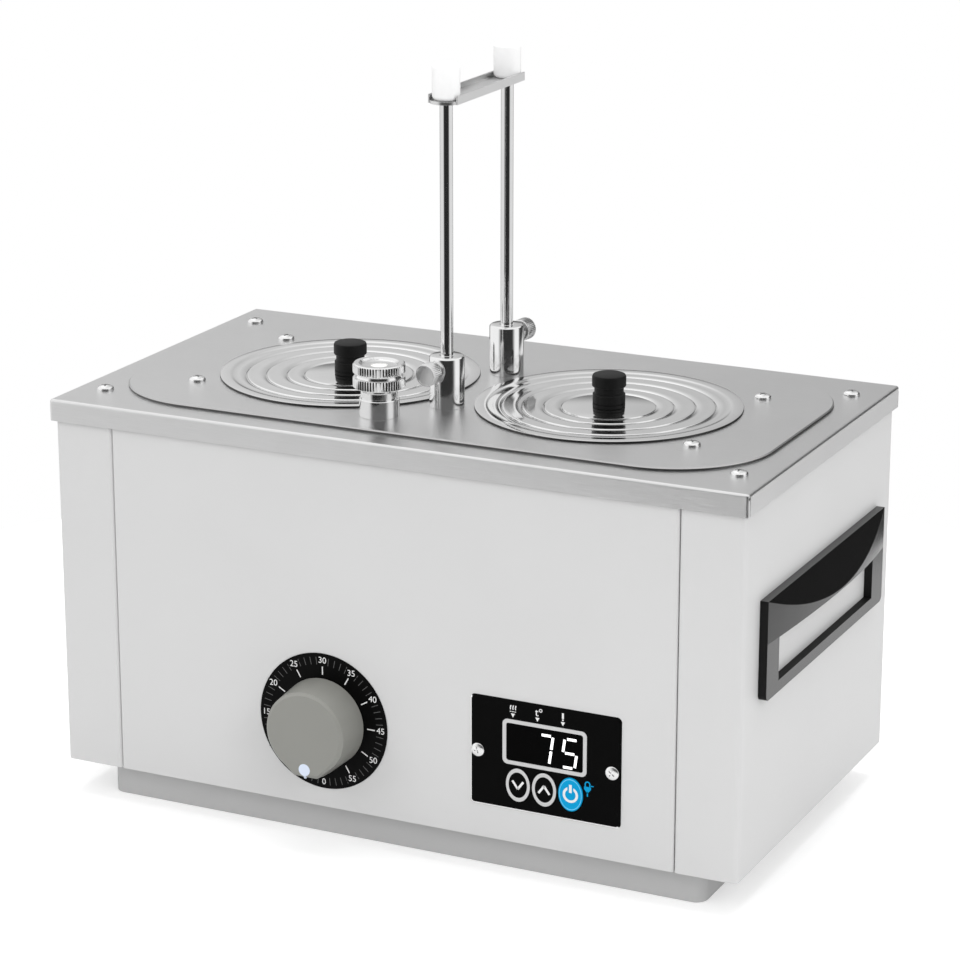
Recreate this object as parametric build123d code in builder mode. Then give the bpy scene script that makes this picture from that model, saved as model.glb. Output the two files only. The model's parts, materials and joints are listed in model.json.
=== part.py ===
# Two-place laboratory water bath: a painted sheet-steel body with a stainless cover, ring covers,
# a lifting shelf on two rods, a mechanical timer and a temperature controller.
# Millimetres, +Z up, front towards -Y, origin on the bench under the middle of the body.
import os
from math import cos, radians, sin

from build123d import *

os.makedirs("parts", exist_ok=True)

# Body and plinth
body_width = 350.0
body_depth = 194.0
body_height = 182.0
plinth_height = 17.0
plinth_side_inset = 19.5
plinth_end_inset = 9.0
plinth_sheet = 1.2
plinth_corner = 6.0
plinth_lip = 12.0
plinth_strap = 40.0
shell_sheet = 1.0
shell_return = 30.6
shell_bend = 2.5
shell_seam_bend = 1.8
panel_bend = 1.2
seam_gap = 0.3
lip_gap = 3.0
side_top_lip = 20.0
bottom_sheet = 1.0
vent_width = 4.0
vent_length = 30.0
vent_pitch = 12.0

# Stainless cover, insert plate and tank
cover_overhang = 2.0
cover_skirt = 10.4
cover_sheet = 1.2
cover_bend = 1.6
corner_slit = 0.4
corner_relief = 0.9
cover_screw_inset = 13.0
cover_screw_setback = 24.5
insert_side_margin = 13.3
insert_end_margin = 15.0
insert_corner = 49.0
insert_sheet = 1.5
insert_edge = 0.6
insert_screw_x = 128.0
insert_screw_y = 44.0
place_pitch = 136.4
place_opening = 58.0
tank_radius = 69.0
tank_clearance = 3.0
tank_sheet = 1.0
tank_flange = 13.0
tank_floor_bend = 12.0
insulation = 12.0
insulation_floor = 8.0
insulation_gap = 0.3

# Ring covers and lids
ring_radii = (63.0, 50.0, 40.5, 30.5)
lid_radius = 22.0
ring_sheet = 1.0
ring_rim = 6.0
ring_rim_drop = 0.5
ring_drop = 0.15
ring_ledge = 4.0
ring_play = 0.3
ring_edge = 0.35
lid_knob_radius = 8.0
lid_knob_height = 15.7
lid_knob_waist = 6.9
lid_knob_waist_low = 6.6
lid_knob_waist_high = 9.9
lid_knob_stud = 2.0
lid_knob_edge = 0.7

# Lifting frame with its collars and thumbscrews
rod_pitch = 65.0
rod_radius = 3.0
rod_fit = 0.06
rod_end_radius = 2.4
rod_end_length = 11.0
collar_radius = 8.3
collar_height = 24.5
collar_chamfer = 0.8
collar_spigot = 5.5
collar_spigot_length = 7.0
bar_height = 144.5
bar_width = 15.0
bar_sheet = 1.5
bar_lip = 4.0
bar_lip_overhang = 3.5
cap_radius = 6.5
cap_height = 16.5
cap_chamfer = 1.5
shelf_drop = 15.0
shelf_radius = 54.0
shelf_sheet = 1.5
shelf_hole = 4.5
shelf_hole_pitch = 18.0
thumb_height = 20.2
thumb_turn = 7.0
thumb_shank = 2.0
thumb_fit = 0.05
thumb_flange_radius = 4.5
thumb_flange = 1.6
thumb_neck = 3.0
thumb_head_radius = 4.9
thumb_head = 7.0
thumb_gap = 0.3

# Thermometer gland
gland_x = -21.3
gland_y = -60.0
gland_base_radius = 9.4
gland_base = 7.4
gland_neck_radius = 8.6
gland_neck = 4.7
gland_core_radius = 6.0
gland_core = 8.0
gland_bore = 4.1
gland_spigot = 6.0
gland_spigot_length = 9.0
gland_head_radius = 12.25
gland_head = 11.7
gland_head_gap = 1.5
gland_groove = 2.3
gland_groove_radius = 10.9
gland_groove_low = 4.9
gland_dish = 1.5
gland_dish_radius = 9.0
gland_seal = 1.8

# Mechanical timer
timer_x = -32.8
control_z = 60.0
dial_radius = 33.5
dial_sheet = 0.6
knob_back_radius = 21.5
knob_nose_radius = 6.5
knob_nose_reach = 26.0
knob_nose_lean = 5.0
knob_depth = 18.5
knob_draft = 4.5
knob_gap = 0.5
knob_wall = 2.5
knob_edge = 1.2
knob_hub_radius = 6.0
shaft_radius = 3.0
shaft_fit = 0.05
timer_side = 50.0
timer_body_depth = 32.0
timer_bush_radius = 5.0

# Temperature controller
controller_inset = 63.1
bezel_width = 75.0
bezel_height = 53.3
bezel_sheet = 1.0
bezel_corner = 2.3
window_width = 39.0
window_height = 19.0
window_lift = 6.6
window_recess = 0.2
window_frame = 1.4
window_frame_rise = 0.3
cutout_width = 60.0
cutout_height = 51.0
housing_play = 0.3
housing_depth = 52.0
housing_wall = 2.0
button_width = 12.1
button_height = 16.2
button_pitch = 13.1
button_drop = 13.9
button_play = 0.3
button_proud = 0.3
button_depth = 3.4
bezel_screw_pitch = 66.8
bezel_screw_head_radius = 3.3
bezel_screw_head = 1.0

# Side handles
handle_length = 154.6
handle_height = 47.0
handle_z = 120.8
handle_sheet = 4.0
handle_corner = 3.0
handle_end = 15.0
handle_foot = 5.6
hood_height = 20.0
hood_bulge = 7.3
hood_drop = 15.5
hood_rise = 3.65
hood_wall = 2.4
handle_screw_hole = 2.1

# Heater, probe, thermostat and electrics
heater_tube = 4.0
heater_lift = 11.0
heater_half_span = 18.0
heater_reach = 95.0
heater_bend = 14.0
heater_tail = 26.0
heater_nut_radius = 8.0
heater_nut = 6.0
probe_x = 40.0
probe_radius = 3.0
probe_lift = 14.0
probe_tail = 24.0
probe_flange_radius = 7.0
probe_flange = 2.0
thermostat_x = -10.0
thermostat_radius = 12.0
thermostat_height = 7.0
board_x = 20.0
board_y = 38.0
board_length = 110.0
board_width = 60.0
board_sheet = 1.6
standoff_radius = 3.0
standoff_height = 8.0
relay_size = (28.0, 12.5, 16.0)
relay_place = (8.0, 10.0)
transformer_size = (36.0, 30.0, 27.0)
transformer_place = (-34.0, 0.0)
terminal_size = (44.0, 11.0, 13.0)
terminal_place = (26.0, -20.0)
board_hole_inset = 5.0
inlet_inset = 34.0
inlet_z = 48.0
inlet_width = 28.0
inlet_height = 20.0
inlet_flange_width = 50.0
inlet_flange_height = 24.0
inlet_flange = 3.0
inlet_depth = 22.0
inlet_wall = 2.0
inlet_screw_pitch = 40.0

# Fasteners
screw_head_radius = 4.0
screw_head_height = 2.4
screw_head_round = 1.6
screw_shank = 2.0
screw_length = 9.0
screw_play = 0.2
nut_radius = 5.8
nut_height = 5.0
small_nut_radius = 4.0
small_nut_height = 3.2
large_nut_radius = 9.2
large_nut_height = 4.5
gland_back_nut_radius = 8.6

# Levels and faces worked out from the sizes above
front_face = body_depth / 2
side_face = body_width / 2
edge_lip = front_face - tank_radius - tank_flange - lip_gap
cover_width = body_width + 2 * cover_overhang
cover_depth = body_depth + 2 * cover_overhang
cover_screw_x = side_face - cover_screw_inset
cover_screw_y = front_face - cover_screw_setback
insert_width = cover_width - 2 * insert_side_margin
insert_depth = cover_depth - 2 * insert_end_margin
panel_width = body_width - 2 * shell_return - 2 * seam_gap
inlet_x = panel_width / 2 - inlet_inset
controller_x = panel_width / 2 - controller_inset
body_bottom = plinth_height
cover_top = plinth_height + body_height
cover_underside = cover_top - cover_sheet
shell_height = cover_underside - body_bottom
insert_top = cover_top + insert_sheet
tank_rim = cover_underside - tank_sheet
controls_top = control_z + max(timer_side, cutout_height) / 2
tank_floor = controls_top + tank_clearance + insulation_floor + insulation_gap + tank_sheet
tank_depth = cover_underside - tank_floor
shelf_top = cover_top - shelf_drop
bar_bottom = cover_top + bar_height
thumb_z = cover_top + thumb_height
place_x = place_pitch / 2
rod_y = rod_pitch / 2
ring_tops = [insert_top + ring_sheet - ring_rim_drop - i * ring_drop for i in range(len(ring_radii) + 1)]
next_radii = list(ring_radii[1:]) + [lid_radius]
lid_top = ring_tops[-1]

front_plane = Plane.XZ.offset(front_face)
places = (("left", -place_x), ("right", place_x))
collars = (("front", -rod_y, -1), ("rear", rod_y, 1))


def upright(x, y, z):
    """Plane through a vertical axis at x, y: its first direction is +X and its second is +Z."""
    return Plane(origin=(x, y, z), x_dir=(1, 0, 0), z_dir=(0, -1, 0))


def vertical_axis(x, y):
    """Vertical axis at x, y."""
    return Axis((x, y, 0), (0, 0, 1))


def make_screw(length, head_radius=screw_head_radius, head_height=screw_head_height):
    """Pan-head screw hanging from the origin, its head above it."""
    with BuildPart() as blank:
        with BuildSketch(Plane.XZ) as section:
            with BuildLine():
                Polyline(
                    (0, -length),
                    (screw_shank, -length),
                    (screw_shank, 0),
                    (head_radius, 0),
                    (head_radius, head_height),
                    (0, head_height),
                    close=True,
                )
            make_face()
            head_rim = section.vertices().group_by(Axis.X)[-1].sort_by(Axis.Y)[-1]
            head_round = screw_head_round * head_height / screw_head_height
            chamfer(head_rim, head_round * 0.55, head_round)
        revolve(axis=Axis.Z)
    return blank.part


def make_nut(radius, height, bore):
    """Hexagon nut standing on the origin."""
    with BuildPart() as blank:
        with BuildSketch():
            RegularPolygon(radius, 6)
            Circle(bore, mode=Mode.SUBTRACT)
        extrude(amount=height)
    return blank.part


def stadium(radius):
    """Two-place outline: a circle round each place, joined by straight sides."""
    SlotCenterToCenter(place_pitch, 2 * radius)


# Plinth: a bent sheet frame that stands on the bench, with lips turned in above and below
# and a strap across its middle
with BuildPart() as base_plinth:
    plinth_length = body_width - 2 * plinth_side_inset
    plinth_depth = body_depth - 2 * plinth_end_inset
    with BuildSketch():
        RectangleRounded(plinth_length, plinth_depth, plinth_corner)
    extrude(amount=plinth_height)
    with BuildSketch(Plane.XY.offset(plinth_sheet)):
        RectangleRounded(
            plinth_length - 2 * plinth_sheet, plinth_depth - 2 * plinth_sheet, plinth_corner - plinth_sheet
        )
    extrude(amount=plinth_height - 2 * plinth_sheet, mode=Mode.SUBTRACT)
    with BuildSketch():
        Rectangle(plinth_length - 2 * plinth_lip, plinth_depth - 2 * plinth_lip)
    extrude(amount=plinth_height, mode=Mode.SUBTRACT)
    with BuildSketch():
        Rectangle(plinth_strap, plinth_depth - plinth_lip)
    extrude(amount=plinth_sheet)
base_plinth.part.label = "base_plinth"
export_step(base_plinth.part, "parts/base_plinth.step")

# Bottom plate: lies on the lips of the side shells and lets cooling air in through its slots
with BuildPart() as bottom_plate:
    with BuildSketch(Plane.XY.offset(body_bottom + shell_sheet)):
        Rectangle(body_width - 2 * shell_sheet - 2 * seam_gap, body_depth - 2 * edge_lip - 2 * seam_gap)
        with GridLocations(vent_pitch, body_depth / 2, 8, 2):
            SlotOverall(vent_length, vent_width, rotation=90, mode=Mode.SUBTRACT)
    extrude(amount=bottom_sheet)
bottom_plate.part.label = "bottom_plate"
export_step(bottom_plate.part, "parts/bottom_plate.step")

# Side shells: one painted sheet each, bent round the front and the back corner
for side, sign in (("left", -1), ("right", 1)):
    open_edge = side_face - shell_return
    with BuildPart() as side_shell:
        with BuildSketch(Plane.XY.offset(body_bottom)) as shell_outline:
            with Locations((sign * (side_face - shell_return / 2), 0)):
                Rectangle(shell_return, body_depth)
            outer_corners = shell_outline.vertices().group_by(Axis.X)[0 if sign < 0 else -1]
            fillet(outer_corners, shell_bend)
            seam_corners = shell_outline.vertices().group_by(Axis.X)[-1 if sign < 0 else 0]
            fillet(seam_corners, shell_seam_bend)
        extrude(amount=shell_height)
        with BuildSketch(Plane.XY.offset(body_bottom + shell_sheet)):
            with Locations((sign * (open_edge + side_face) / 2, 0)):
                Rectangle(shell_return - 2 * shell_sheet, body_depth - 2 * shell_sheet)
            with Locations((sign * (open_edge + side_face - shell_sheet) / 2, 0)):
                Rectangle(shell_return - shell_sheet, body_depth - 2 * edge_lip)
        extrude(amount=shell_height - 2 * shell_sheet, mode=Mode.SUBTRACT)
        with BuildSketch(Plane.XY.offset(body_bottom)):
            with Locations((sign * (open_edge + side_face - edge_lip) / 2, 0)):
                Rectangle(shell_return - edge_lip, body_depth - 2 * edge_lip)
        extrude(amount=shell_height / 2, mode=Mode.SUBTRACT)
        with BuildSketch(Plane.XY.offset(body_bottom + shell_height / 2)):
            with Locations((sign * (open_edge + side_face - side_top_lip) / 2, 0)):
                Rectangle(shell_return - side_top_lip, body_depth - 2 * edge_lip)
        extrude(amount=shell_height / 2, mode=Mode.SUBTRACT)
        with BuildSketch(Plane.XY.offset(cover_underside)):
            with GridLocations(2 * cover_screw_x, 2 * cover_screw_y, 2, 2):
                Circle(screw_shank + screw_play)
        extrude(amount=-2 * shell_sheet, mode=Mode.SUBTRACT)
        with BuildSketch(Plane.YZ.offset(sign * side_face)):
            with Locations((0, handle_z)):
                with GridLocations(handle_length - handle_end, 0, 2, 1):
                    Circle(handle_screw_hole + screw_play)
        extrude(amount=-sign * 2 * shell_sheet, mode=Mode.SUBTRACT)
    side_shell.part.label = f"{side}_side_shell"
    export_step(side_shell.part, f"parts/{side}_side_shell.step")

# Front panel: a tray of painted sheet between the two side shells
with BuildPart() as front_panel:
    with BuildSketch(front_plane):
        with Locations((0, body_bottom + shell_height / 2)):
            Rectangle(panel_width, shell_height)
    extrude(amount=-edge_lip)
    fillet(front_panel.edges().filter_by(Axis.Z).group_by(Axis.Y)[0], panel_bend)
    with BuildSketch(front_plane.offset(-shell_sheet)):
        with Locations((0, body_bottom + shell_height / 2)):
            Rectangle(panel_width - 2 * shell_sheet, shell_height - 2 * shell_sheet)
    extrude(amount=-edge_lip, mode=Mode.SUBTRACT)
    with BuildSketch(front_plane):
        with Locations((timer_x, control_z)):
            Circle(timer_bush_radius + screw_play)
        with Locations((controller_x, control_z)):
            Rectangle(cutout_width, cutout_height)
            with GridLocations(bezel_screw_pitch, 0, 2, 1):
                Circle(screw_shank + screw_play)
    extrude(amount=-2 * shell_sheet, mode=Mode.SUBTRACT)
front_panel.part.label = "front_panel"
export_step(front_panel.part, "parts/front_panel.step")

# Rear panel: the same tray at the back, with the mains inlet's cut-out and two rows of air slots
rear_plane = Plane.XZ.offset(-front_face)
with BuildPart() as rear_panel:
    with BuildSketch(rear_plane):
        with Locations((0, body_bottom + shell_height / 2)):
            Rectangle(panel_width, shell_height)
    extrude(amount=edge_lip)
    fillet(rear_panel.edges().filter_by(Axis.Z).group_by(Axis.Y)[-1], panel_bend)
    with BuildSketch(rear_plane.offset(shell_sheet)):
        with Locations((0, body_bottom + shell_height / 2)):
            Rectangle(panel_width - 2 * shell_sheet, shell_height - 2 * shell_sheet)
    extrude(amount=edge_lip, mode=Mode.SUBTRACT)
    with BuildSketch(rear_plane):
        with Locations((inlet_x, inlet_z)):
            Rectangle(inlet_width + 2 * screw_play, inlet_height + 2 * screw_play)
            with GridLocations(inlet_screw_pitch, 0, 2, 1):
                Circle(screw_shank + screw_play)
        with Locations((-inlet_x / 2, inlet_z)):
            with GridLocations(vent_pitch, 0, 10, 1):
                SlotOverall(vent_length, vent_width, rotation=90)
    extrude(amount=2 * shell_sheet, mode=Mode.SUBTRACT)
rear_panel.part.label = "rear_panel"
export_step(rear_panel.part, "parts/rear_panel.step")

# Stainless cover: a shallow tray turned over the body, slit at its corners, open over the tank
with BuildPart() as top_cover:
    with BuildSketch(Plane.XY.offset(cover_top - cover_skirt)):
        RectangleRounded(cover_width, cover_depth, cover_bend)
    extrude(amount=cover_skirt)
    fillet(top_cover.faces().sort_by(Axis.Z)[-1].edges(), cover_bend * 0.95)
    with BuildSketch(Plane.XY.offset(cover_top - cover_skirt)):
        Rectangle(cover_width - 2 * cover_sheet, cover_depth - 2 * cover_sheet)
    extrude(amount=cover_skirt - cover_sheet, mode=Mode.SUBTRACT)
    with BuildSketch(Plane.XY.offset(cover_underside)):
        stadium(tank_radius)
        with GridLocations(2 * cover_screw_x, 2 * cover_screw_y, 2, 2):
            Circle(screw_shank + screw_play)
        with GridLocations(2 * insert_screw_x, 2 * insert_screw_y, 2, 2):
            Circle(screw_shank + screw_play)
    extrude(amount=cover_sheet, mode=Mode.SUBTRACT)
    with BuildSketch(Plane.XY.offset(cover_top - cover_skirt)):
        with GridLocations(cover_width, cover_depth - 2 * cover_sheet - corner_slit, 2, 2):
            Rectangle(2 * cover_sheet, corner_slit)
    extrude(amount=cover_skirt - cover_sheet, mode=Mode.SUBTRACT)
    for sign in (-1, 1):
        with BuildSketch(Plane.YZ.offset(sign * cover_width / 2)):
            with Locations((0, cover_underside - corner_relief)):
                with GridLocations(cover_depth - 2 * cover_sheet - corner_slit, 0, 2, 1):
                    Circle(corner_relief)
        extrude(amount=-sign * cover_sheet, mode=Mode.SUBTRACT)
top_cover.part.label = "top_cover"
export_step(top_cover.part, "parts/top_cover.step")

# Insert plate: carries the ring covers, the collars and the gland, screwed down on the cover
with BuildPart() as insert_plate:
    with BuildSketch(Plane.XY.offset(cover_top)):
        RectangleRounded(insert_width, insert_depth, insert_corner)
    extrude(amount=insert_sheet)
    chamfer(insert_plate.faces().sort_by(Axis.Z)[-1].edges(), insert_edge)
    with BuildSketch(Plane.XY.offset(cover_top)):
        with GridLocations(place_pitch, 0, 2, 1):
            Circle(place_opening)
        with GridLocations(0, rod_pitch, 1, 2):
            Circle(collar_spigot + screw_play)
        with GridLocations(2 * insert_screw_x, 2 * insert_screw_y, 2, 2):
            Circle(screw_shank + screw_play)
        with Locations((gland_x, gland_y)):
            Circle(gland_spigot + screw_play)
    extrude(amount=insert_sheet, mode=Mode.SUBTRACT)
insert_plate.part.label = "insert_plate"
export_step(insert_plate.part, "parts/insert_plate.step")

# Inner tank: a drawn stainless trough for both places, its flange clamped under the cover
with BuildPart() as inner_tank:
    with BuildSketch(Plane.XY.offset(tank_rim)):
        stadium(tank_radius + tank_flange)
    extrude(amount=tank_sheet)
    with BuildSketch(Plane.XY.offset(tank_rim)):
        stadium(tank_radius + tank_sheet)
    extrude(amount=-(tank_rim - tank_floor + tank_sheet))
    fillet(inner_tank.faces().sort_by(Axis.Z)[0].edges(), tank_floor_bend + tank_sheet)
    with BuildSketch(Plane.XY.offset(cover_underside)):
        stadium(tank_radius)
    tank_hollow = extrude(amount=-tank_depth, mode=Mode.PRIVATE)
    tank_hollow = tank_hollow.fillet(tank_floor_bend, tank_hollow.faces().sort_by(Axis.Z)[0].edges())
    add(tank_hollow, mode=Mode.SUBTRACT)
    with BuildSketch(Plane.XY.offset(tank_floor)):
        with Locations((-heater_reach, 0)):
            with GridLocations(0, 2 * heater_half_span, 1, 2):
                Circle(heater_tube + screw_play)
        with Locations((probe_x, 0)):
            Circle(probe_radius + screw_play)
    extrude(amount=-tank_sheet, mode=Mode.SUBTRACT)
    with BuildSketch(Plane.XY.offset(cover_underside)):
        with GridLocations(2 * insert_screw_x, 2 * insert_screw_y, 2, 2):
            Circle(screw_shank + screw_play)
    extrude(amount=-tank_sheet, mode=Mode.SUBTRACT)
inner_tank.part.label = "inner_tank"
export_step(inner_tank.part, "parts/inner_tank.step")

# Insulation: a felt jacket round the tank's wall and floor, open round the fittings
jacket_inner = tank_radius + tank_sheet + insulation_gap
jacket_floor = tank_floor - tank_sheet - insulation_gap
with BuildPart() as tank_insulation:
    with BuildSketch(Plane.XY.offset(jacket_floor - insulation_floor)):
        stadium(jacket_inner + insulation)
    extrude(amount=tank_rim - insulation_gap - jacket_floor + insulation_floor)
    with BuildSketch(Plane.XY.offset(jacket_floor)):
        stadium(jacket_inner)
    extrude(amount=tank_depth, mode=Mode.SUBTRACT)
    with BuildSketch(Plane.XY.offset(jacket_floor)):
        with Locations((-heater_reach, 0)):
            with GridLocations(0, 2 * heater_half_span, 1, 2):
                Circle(heater_nut_radius + 1)
        with Locations((probe_x, 0)):
            Circle(probe_flange_radius + 1)
        with Locations((thermostat_x, 0)):
            Circle(thermostat_radius + 1)
    extrude(amount=-insulation_floor, mode=Mode.SUBTRACT)
    with BuildSketch(Plane.XY.offset(tank_rim - insulation_gap)):
        with GridLocations(2 * insert_screw_x, 2 * insert_screw_y, 2, 2):
            Circle(small_nut_radius + 1)
    extrude(amount=-screw_length, mode=Mode.SUBTRACT)
tank_insulation.part.label = "tank_insulation"
export_step(tank_insulation.part, "parts/tank_insulation.step")

# Cover screws in the four corners, and the insert plate's four screws
plate_screw = make_screw(screw_length)
with BuildPart() as cover_screws:
    with Locations((0, 0, cover_top)):
        with GridLocations(2 * cover_screw_x, 2 * cover_screw_y, 2, 2):
            add(plate_screw)
cover_screws.part.label = "cover_screws"
export_step(cover_screws.part, "parts/cover_screws.step")

with BuildPart() as insert_screws:
    with Locations((0, 0, insert_top)):
        with GridLocations(2 * insert_screw_x, 2 * insert_screw_y, 2, 2):
            add(plate_screw)
insert_screws.part.label = "insert_screws"
export_step(insert_screws.part, "parts/insert_screws.step")

# Nuts under the plate: four on the insert screws, two on the collars and one on the gland
small_nut = make_nut(small_nut_radius, small_nut_height, screw_shank + 0.05)
collar_nut = make_nut(large_nut_radius, large_nut_height, collar_spigot + 0.05)
gland_back_nut = make_nut(gland_back_nut_radius, large_nut_height, gland_spigot + 0.05)
with BuildPart() as plate_nuts:
    with Locations((0, 0, tank_rim - small_nut_height)):
        with GridLocations(2 * insert_screw_x, 2 * insert_screw_y, 2, 2):
            add(small_nut)
    with Locations((0, 0, cover_top - large_nut_height)):
        with GridLocations(0, rod_pitch, 1, 2):
            add(collar_nut)
    with Locations((gland_x, gland_y, cover_top - large_nut_height)):
        add(gland_back_nut)
plate_nuts.part.label = "plate_nuts"
export_step(plate_nuts.part, "parts/plate_nuts.step")

# Ring covers: each ring lies in the ledge of the next larger one, the lid in the smallest
for place, x in places:
    for number, radius in enumerate(ring_radii):
        top = ring_tops[number]
        seat = next_radii[number] + ring_play
        ledge_top = ring_tops[number + 1] - ring_sheet
        ledge_inner = next_radii[number] - ring_ledge
        outer = [(radius, top - ring_sheet), (radius, top), (seat, top)]
        if number == 0:
            shoulder = place_opening - ring_play
            outer = [
                (shoulder, top - ring_sheet),
                (shoulder, insert_top),
                (radius, insert_top),
                (radius, insert_top + ring_sheet),
                (radius - ring_rim, insert_top + ring_sheet),
                (radius - ring_rim, top),
                (seat, top),
            ]
        inner = [
            (seat, ledge_top),
            (ledge_inner, ledge_top),
            (ledge_inner, ledge_top - ring_sheet),
            (seat + ring_sheet, ledge_top - ring_sheet),
            (seat + ring_sheet, top - ring_sheet),
        ]
        with BuildPart() as ring:
            with BuildSketch(upright(x, 0, 0)) as ring_section:
                with BuildLine():
                    Polyline(*outer, *inner, close=True)
                make_face()
                outer_rim = ring_section.vertices().group_by(Axis.X)[-1].sort_by(Axis.Y)[-1]
                bend = ring_section.vertices().sort_by_distance((seat, top))[0]
                chamfer([outer_rim, bend], ring_edge)
            revolve(axis=vertical_axis(x, 0))
        ring.part.label = f"{place}_ring_{number + 1}"
        export_step(ring.part, f"parts/{place}_ring_{number + 1}.step")

    with BuildPart() as lid:
        with BuildSketch(Plane.XY.offset(lid_top - ring_sheet)):
            with Locations((x, 0)):
                Circle(lid_radius)
                Circle(lid_knob_stud + screw_play, mode=Mode.SUBTRACT)
        extrude(amount=ring_sheet)
        chamfer(lid.faces().sort_by(Axis.Z)[-1].outer_wire().edges(), ring_edge)
    lid.part.label = f"{place}_lid"
    export_step(lid.part, f"parts/{place}_lid.step")

    # Lid knob: black moulded grip with a waist, its stud and nut under the lid
    with BuildPart() as lid_knob:
        with BuildSketch(upright(x, 0, lid_top)) as knob_section:
            with BuildLine():
                Polyline(
                    (0, -ring_sheet - small_nut_height - 1),
                    (lid_knob_stud, -ring_sheet - small_nut_height - 1),
                    (lid_knob_stud, -ring_sheet - small_nut_height),
                    (small_nut_radius, -ring_sheet - small_nut_height),
                    (small_nut_radius, -ring_sheet),
                    (lid_knob_stud, -ring_sheet),
                    (lid_knob_stud, 0),
                    (lid_knob_radius, 0),
                    (lid_knob_radius, lid_knob_waist_low),
                    (lid_knob_waist, lid_knob_waist_low),
                    (lid_knob_waist, lid_knob_waist_high),
                    (lid_knob_radius, lid_knob_waist_high),
                    (lid_knob_radius, lid_knob_height),
                    (0, lid_knob_height),
                    close=True,
                )
            make_face()
            rims = knob_section.vertices().group_by(Axis.X)[-1].sort_by(Axis.Y)
            chamfer(rims[1:], lid_knob_edge)
        revolve(axis=vertical_axis(x, 0))
    lid_knob.part.label = f"{place}_lid_knob"
    export_step(lid_knob.part, f"parts/{place}_lid_knob.step")

# Collars with their thumbscrews, one for each rod
for end, y, outward in collars:
    turn = radians(outward * 90 - thumb_turn)
    across = (cos(turn), sin(turn), 0)
    thumb_plane = Plane(origin=(0, y, thumb_z), x_dir=across, z_dir=(sin(turn), -cos(turn), 0))
    with BuildPart() as collar:
        with BuildSketch(upright(0, y, insert_top)) as collar_section:
            with BuildLine():
                Polyline(
                    (rod_radius + rod_fit, -collar_spigot_length - insert_sheet),
                    (collar_spigot, -collar_spigot_length - insert_sheet),
                    (collar_spigot, 0),
                    (collar_radius, 0),
                    (collar_radius, collar_height),
                    (rod_radius + rod_fit, collar_height),
                    close=True,
                )
            make_face()
            collar_rim = collar_section.vertices().group_by(Axis.X)[-1].sort_by(Axis.Y)[-1]
            chamfer(collar_rim, collar_chamfer)
        revolve(axis=vertical_axis(0, y))
        with BuildSketch(Plane(origin=(0, y, thumb_z), x_dir=(0, 0, 1), z_dir=across)):
            Circle(thumb_shank + thumb_fit)
        extrude(amount=collar_radius + 1, mode=Mode.SUBTRACT)
    collar.part.label = f"{end}_collar"
    export_step(collar.part, f"parts/{end}_collar.step")

    with BuildPart() as thumbscrew:
        shank_start = rod_radius + rod_fit + thumb_gap
        flange_start = collar_radius + thumb_gap
        with BuildSketch(thumb_plane) as thumb_section:
            with BuildLine():
                Polyline(
                    (shank_start, 0),
                    (shank_start, thumb_shank),
                    (flange_start, thumb_shank),
                    (flange_start, thumb_flange_radius),
                    (flange_start + thumb_flange, thumb_flange_radius),
                    (flange_start + thumb_flange, thumb_neck),
                    (flange_start + 2 * thumb_flange, thumb_neck),
                    (flange_start + 2 * thumb_flange, thumb_head_radius),
                    (flange_start + 2 * thumb_flange + thumb_head, thumb_head_radius),
                    (flange_start + 2 * thumb_flange + thumb_head, 0),
                    close=True,
                )
            make_face()
        revolve(axis=Axis((0, y, thumb_z), across))
        chamfer(thumbscrew.edges().filter_by(GeomType.CIRCLE).sort_by(Axis((0, y, thumb_z), across))[-1], 0.5)
    thumbscrew.part.label = f"{end}_thumbscrew"
    export_step(thumbscrew.part, f"parts/{end}_thumbscrew.step")

    # Rod: slides in the collar, carries the shelf below and the bar and cap above
    rod_bottom = shelf_top - shelf_sheet - nut_height - 2
    with BuildPart() as rod:
        with BuildSketch(upright(0, y, 0)):
            with BuildLine():
                Polyline(
                    (0, rod_bottom),
                    (rod_radius, rod_bottom),
                    (rod_radius, bar_bottom),
                    (rod_end_radius, bar_bottom),
                    (rod_end_radius, bar_bottom + rod_end_length),
                    (0, bar_bottom + rod_end_length),
                    close=True,
                )
            make_face()
        revolve(axis=vertical_axis(0, y))
    rod.part.label = f"{end}_rod"
    export_step(rod.part, f"parts/{end}_rod.step")

    # Cap: white heat-proof plastic, screwed on the rod's end
    with BuildPart() as cap:
        with BuildSketch(upright(0, y, bar_bottom + bar_sheet)):
            with BuildLine():
                Polyline(
                    (rod_end_radius + 0.05, 0),
                    (cap_radius - cap_chamfer, 0),
                    (cap_radius, cap_chamfer),
                    (cap_radius, cap_height - cap_chamfer),
                    (cap_radius - cap_chamfer, cap_height),
                    (0, cap_height),
                    (0, rod_end_length),
                    (rod_end_radius + 0.05, rod_end_length),
                    close=True,
                )
            make_face()
        revolve(axis=vertical_axis(0, y))
    cap.part.label = f"{end}_cap"
    export_step(cap.part, f"parts/{end}_cap.step")

# Cross bar: a channel open upwards that ties the two rods together under the caps
with BuildPart() as cross_bar:
    with BuildSketch(Plane.XY.offset(bar_bottom)):
        SlotCenterToCenter(rod_pitch, bar_width, rotation=90)
        with GridLocations(0, rod_pitch, 1, 2):
            Circle(rod_end_radius + 0.1, mode=Mode.SUBTRACT)
    extrude(amount=bar_sheet)
    with BuildSketch(Plane.XY.offset(bar_bottom)):
        with GridLocations(bar_width - bar_sheet / 2, 0, 2, 1):
            Rectangle(bar_sheet / 2, rod_pitch + 2 * bar_lip_overhang)
    extrude(amount=bar_lip)
cross_bar.part.label = "cross_bar"
export_step(cross_bar.part, "parts/cross_bar.step")

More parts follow.
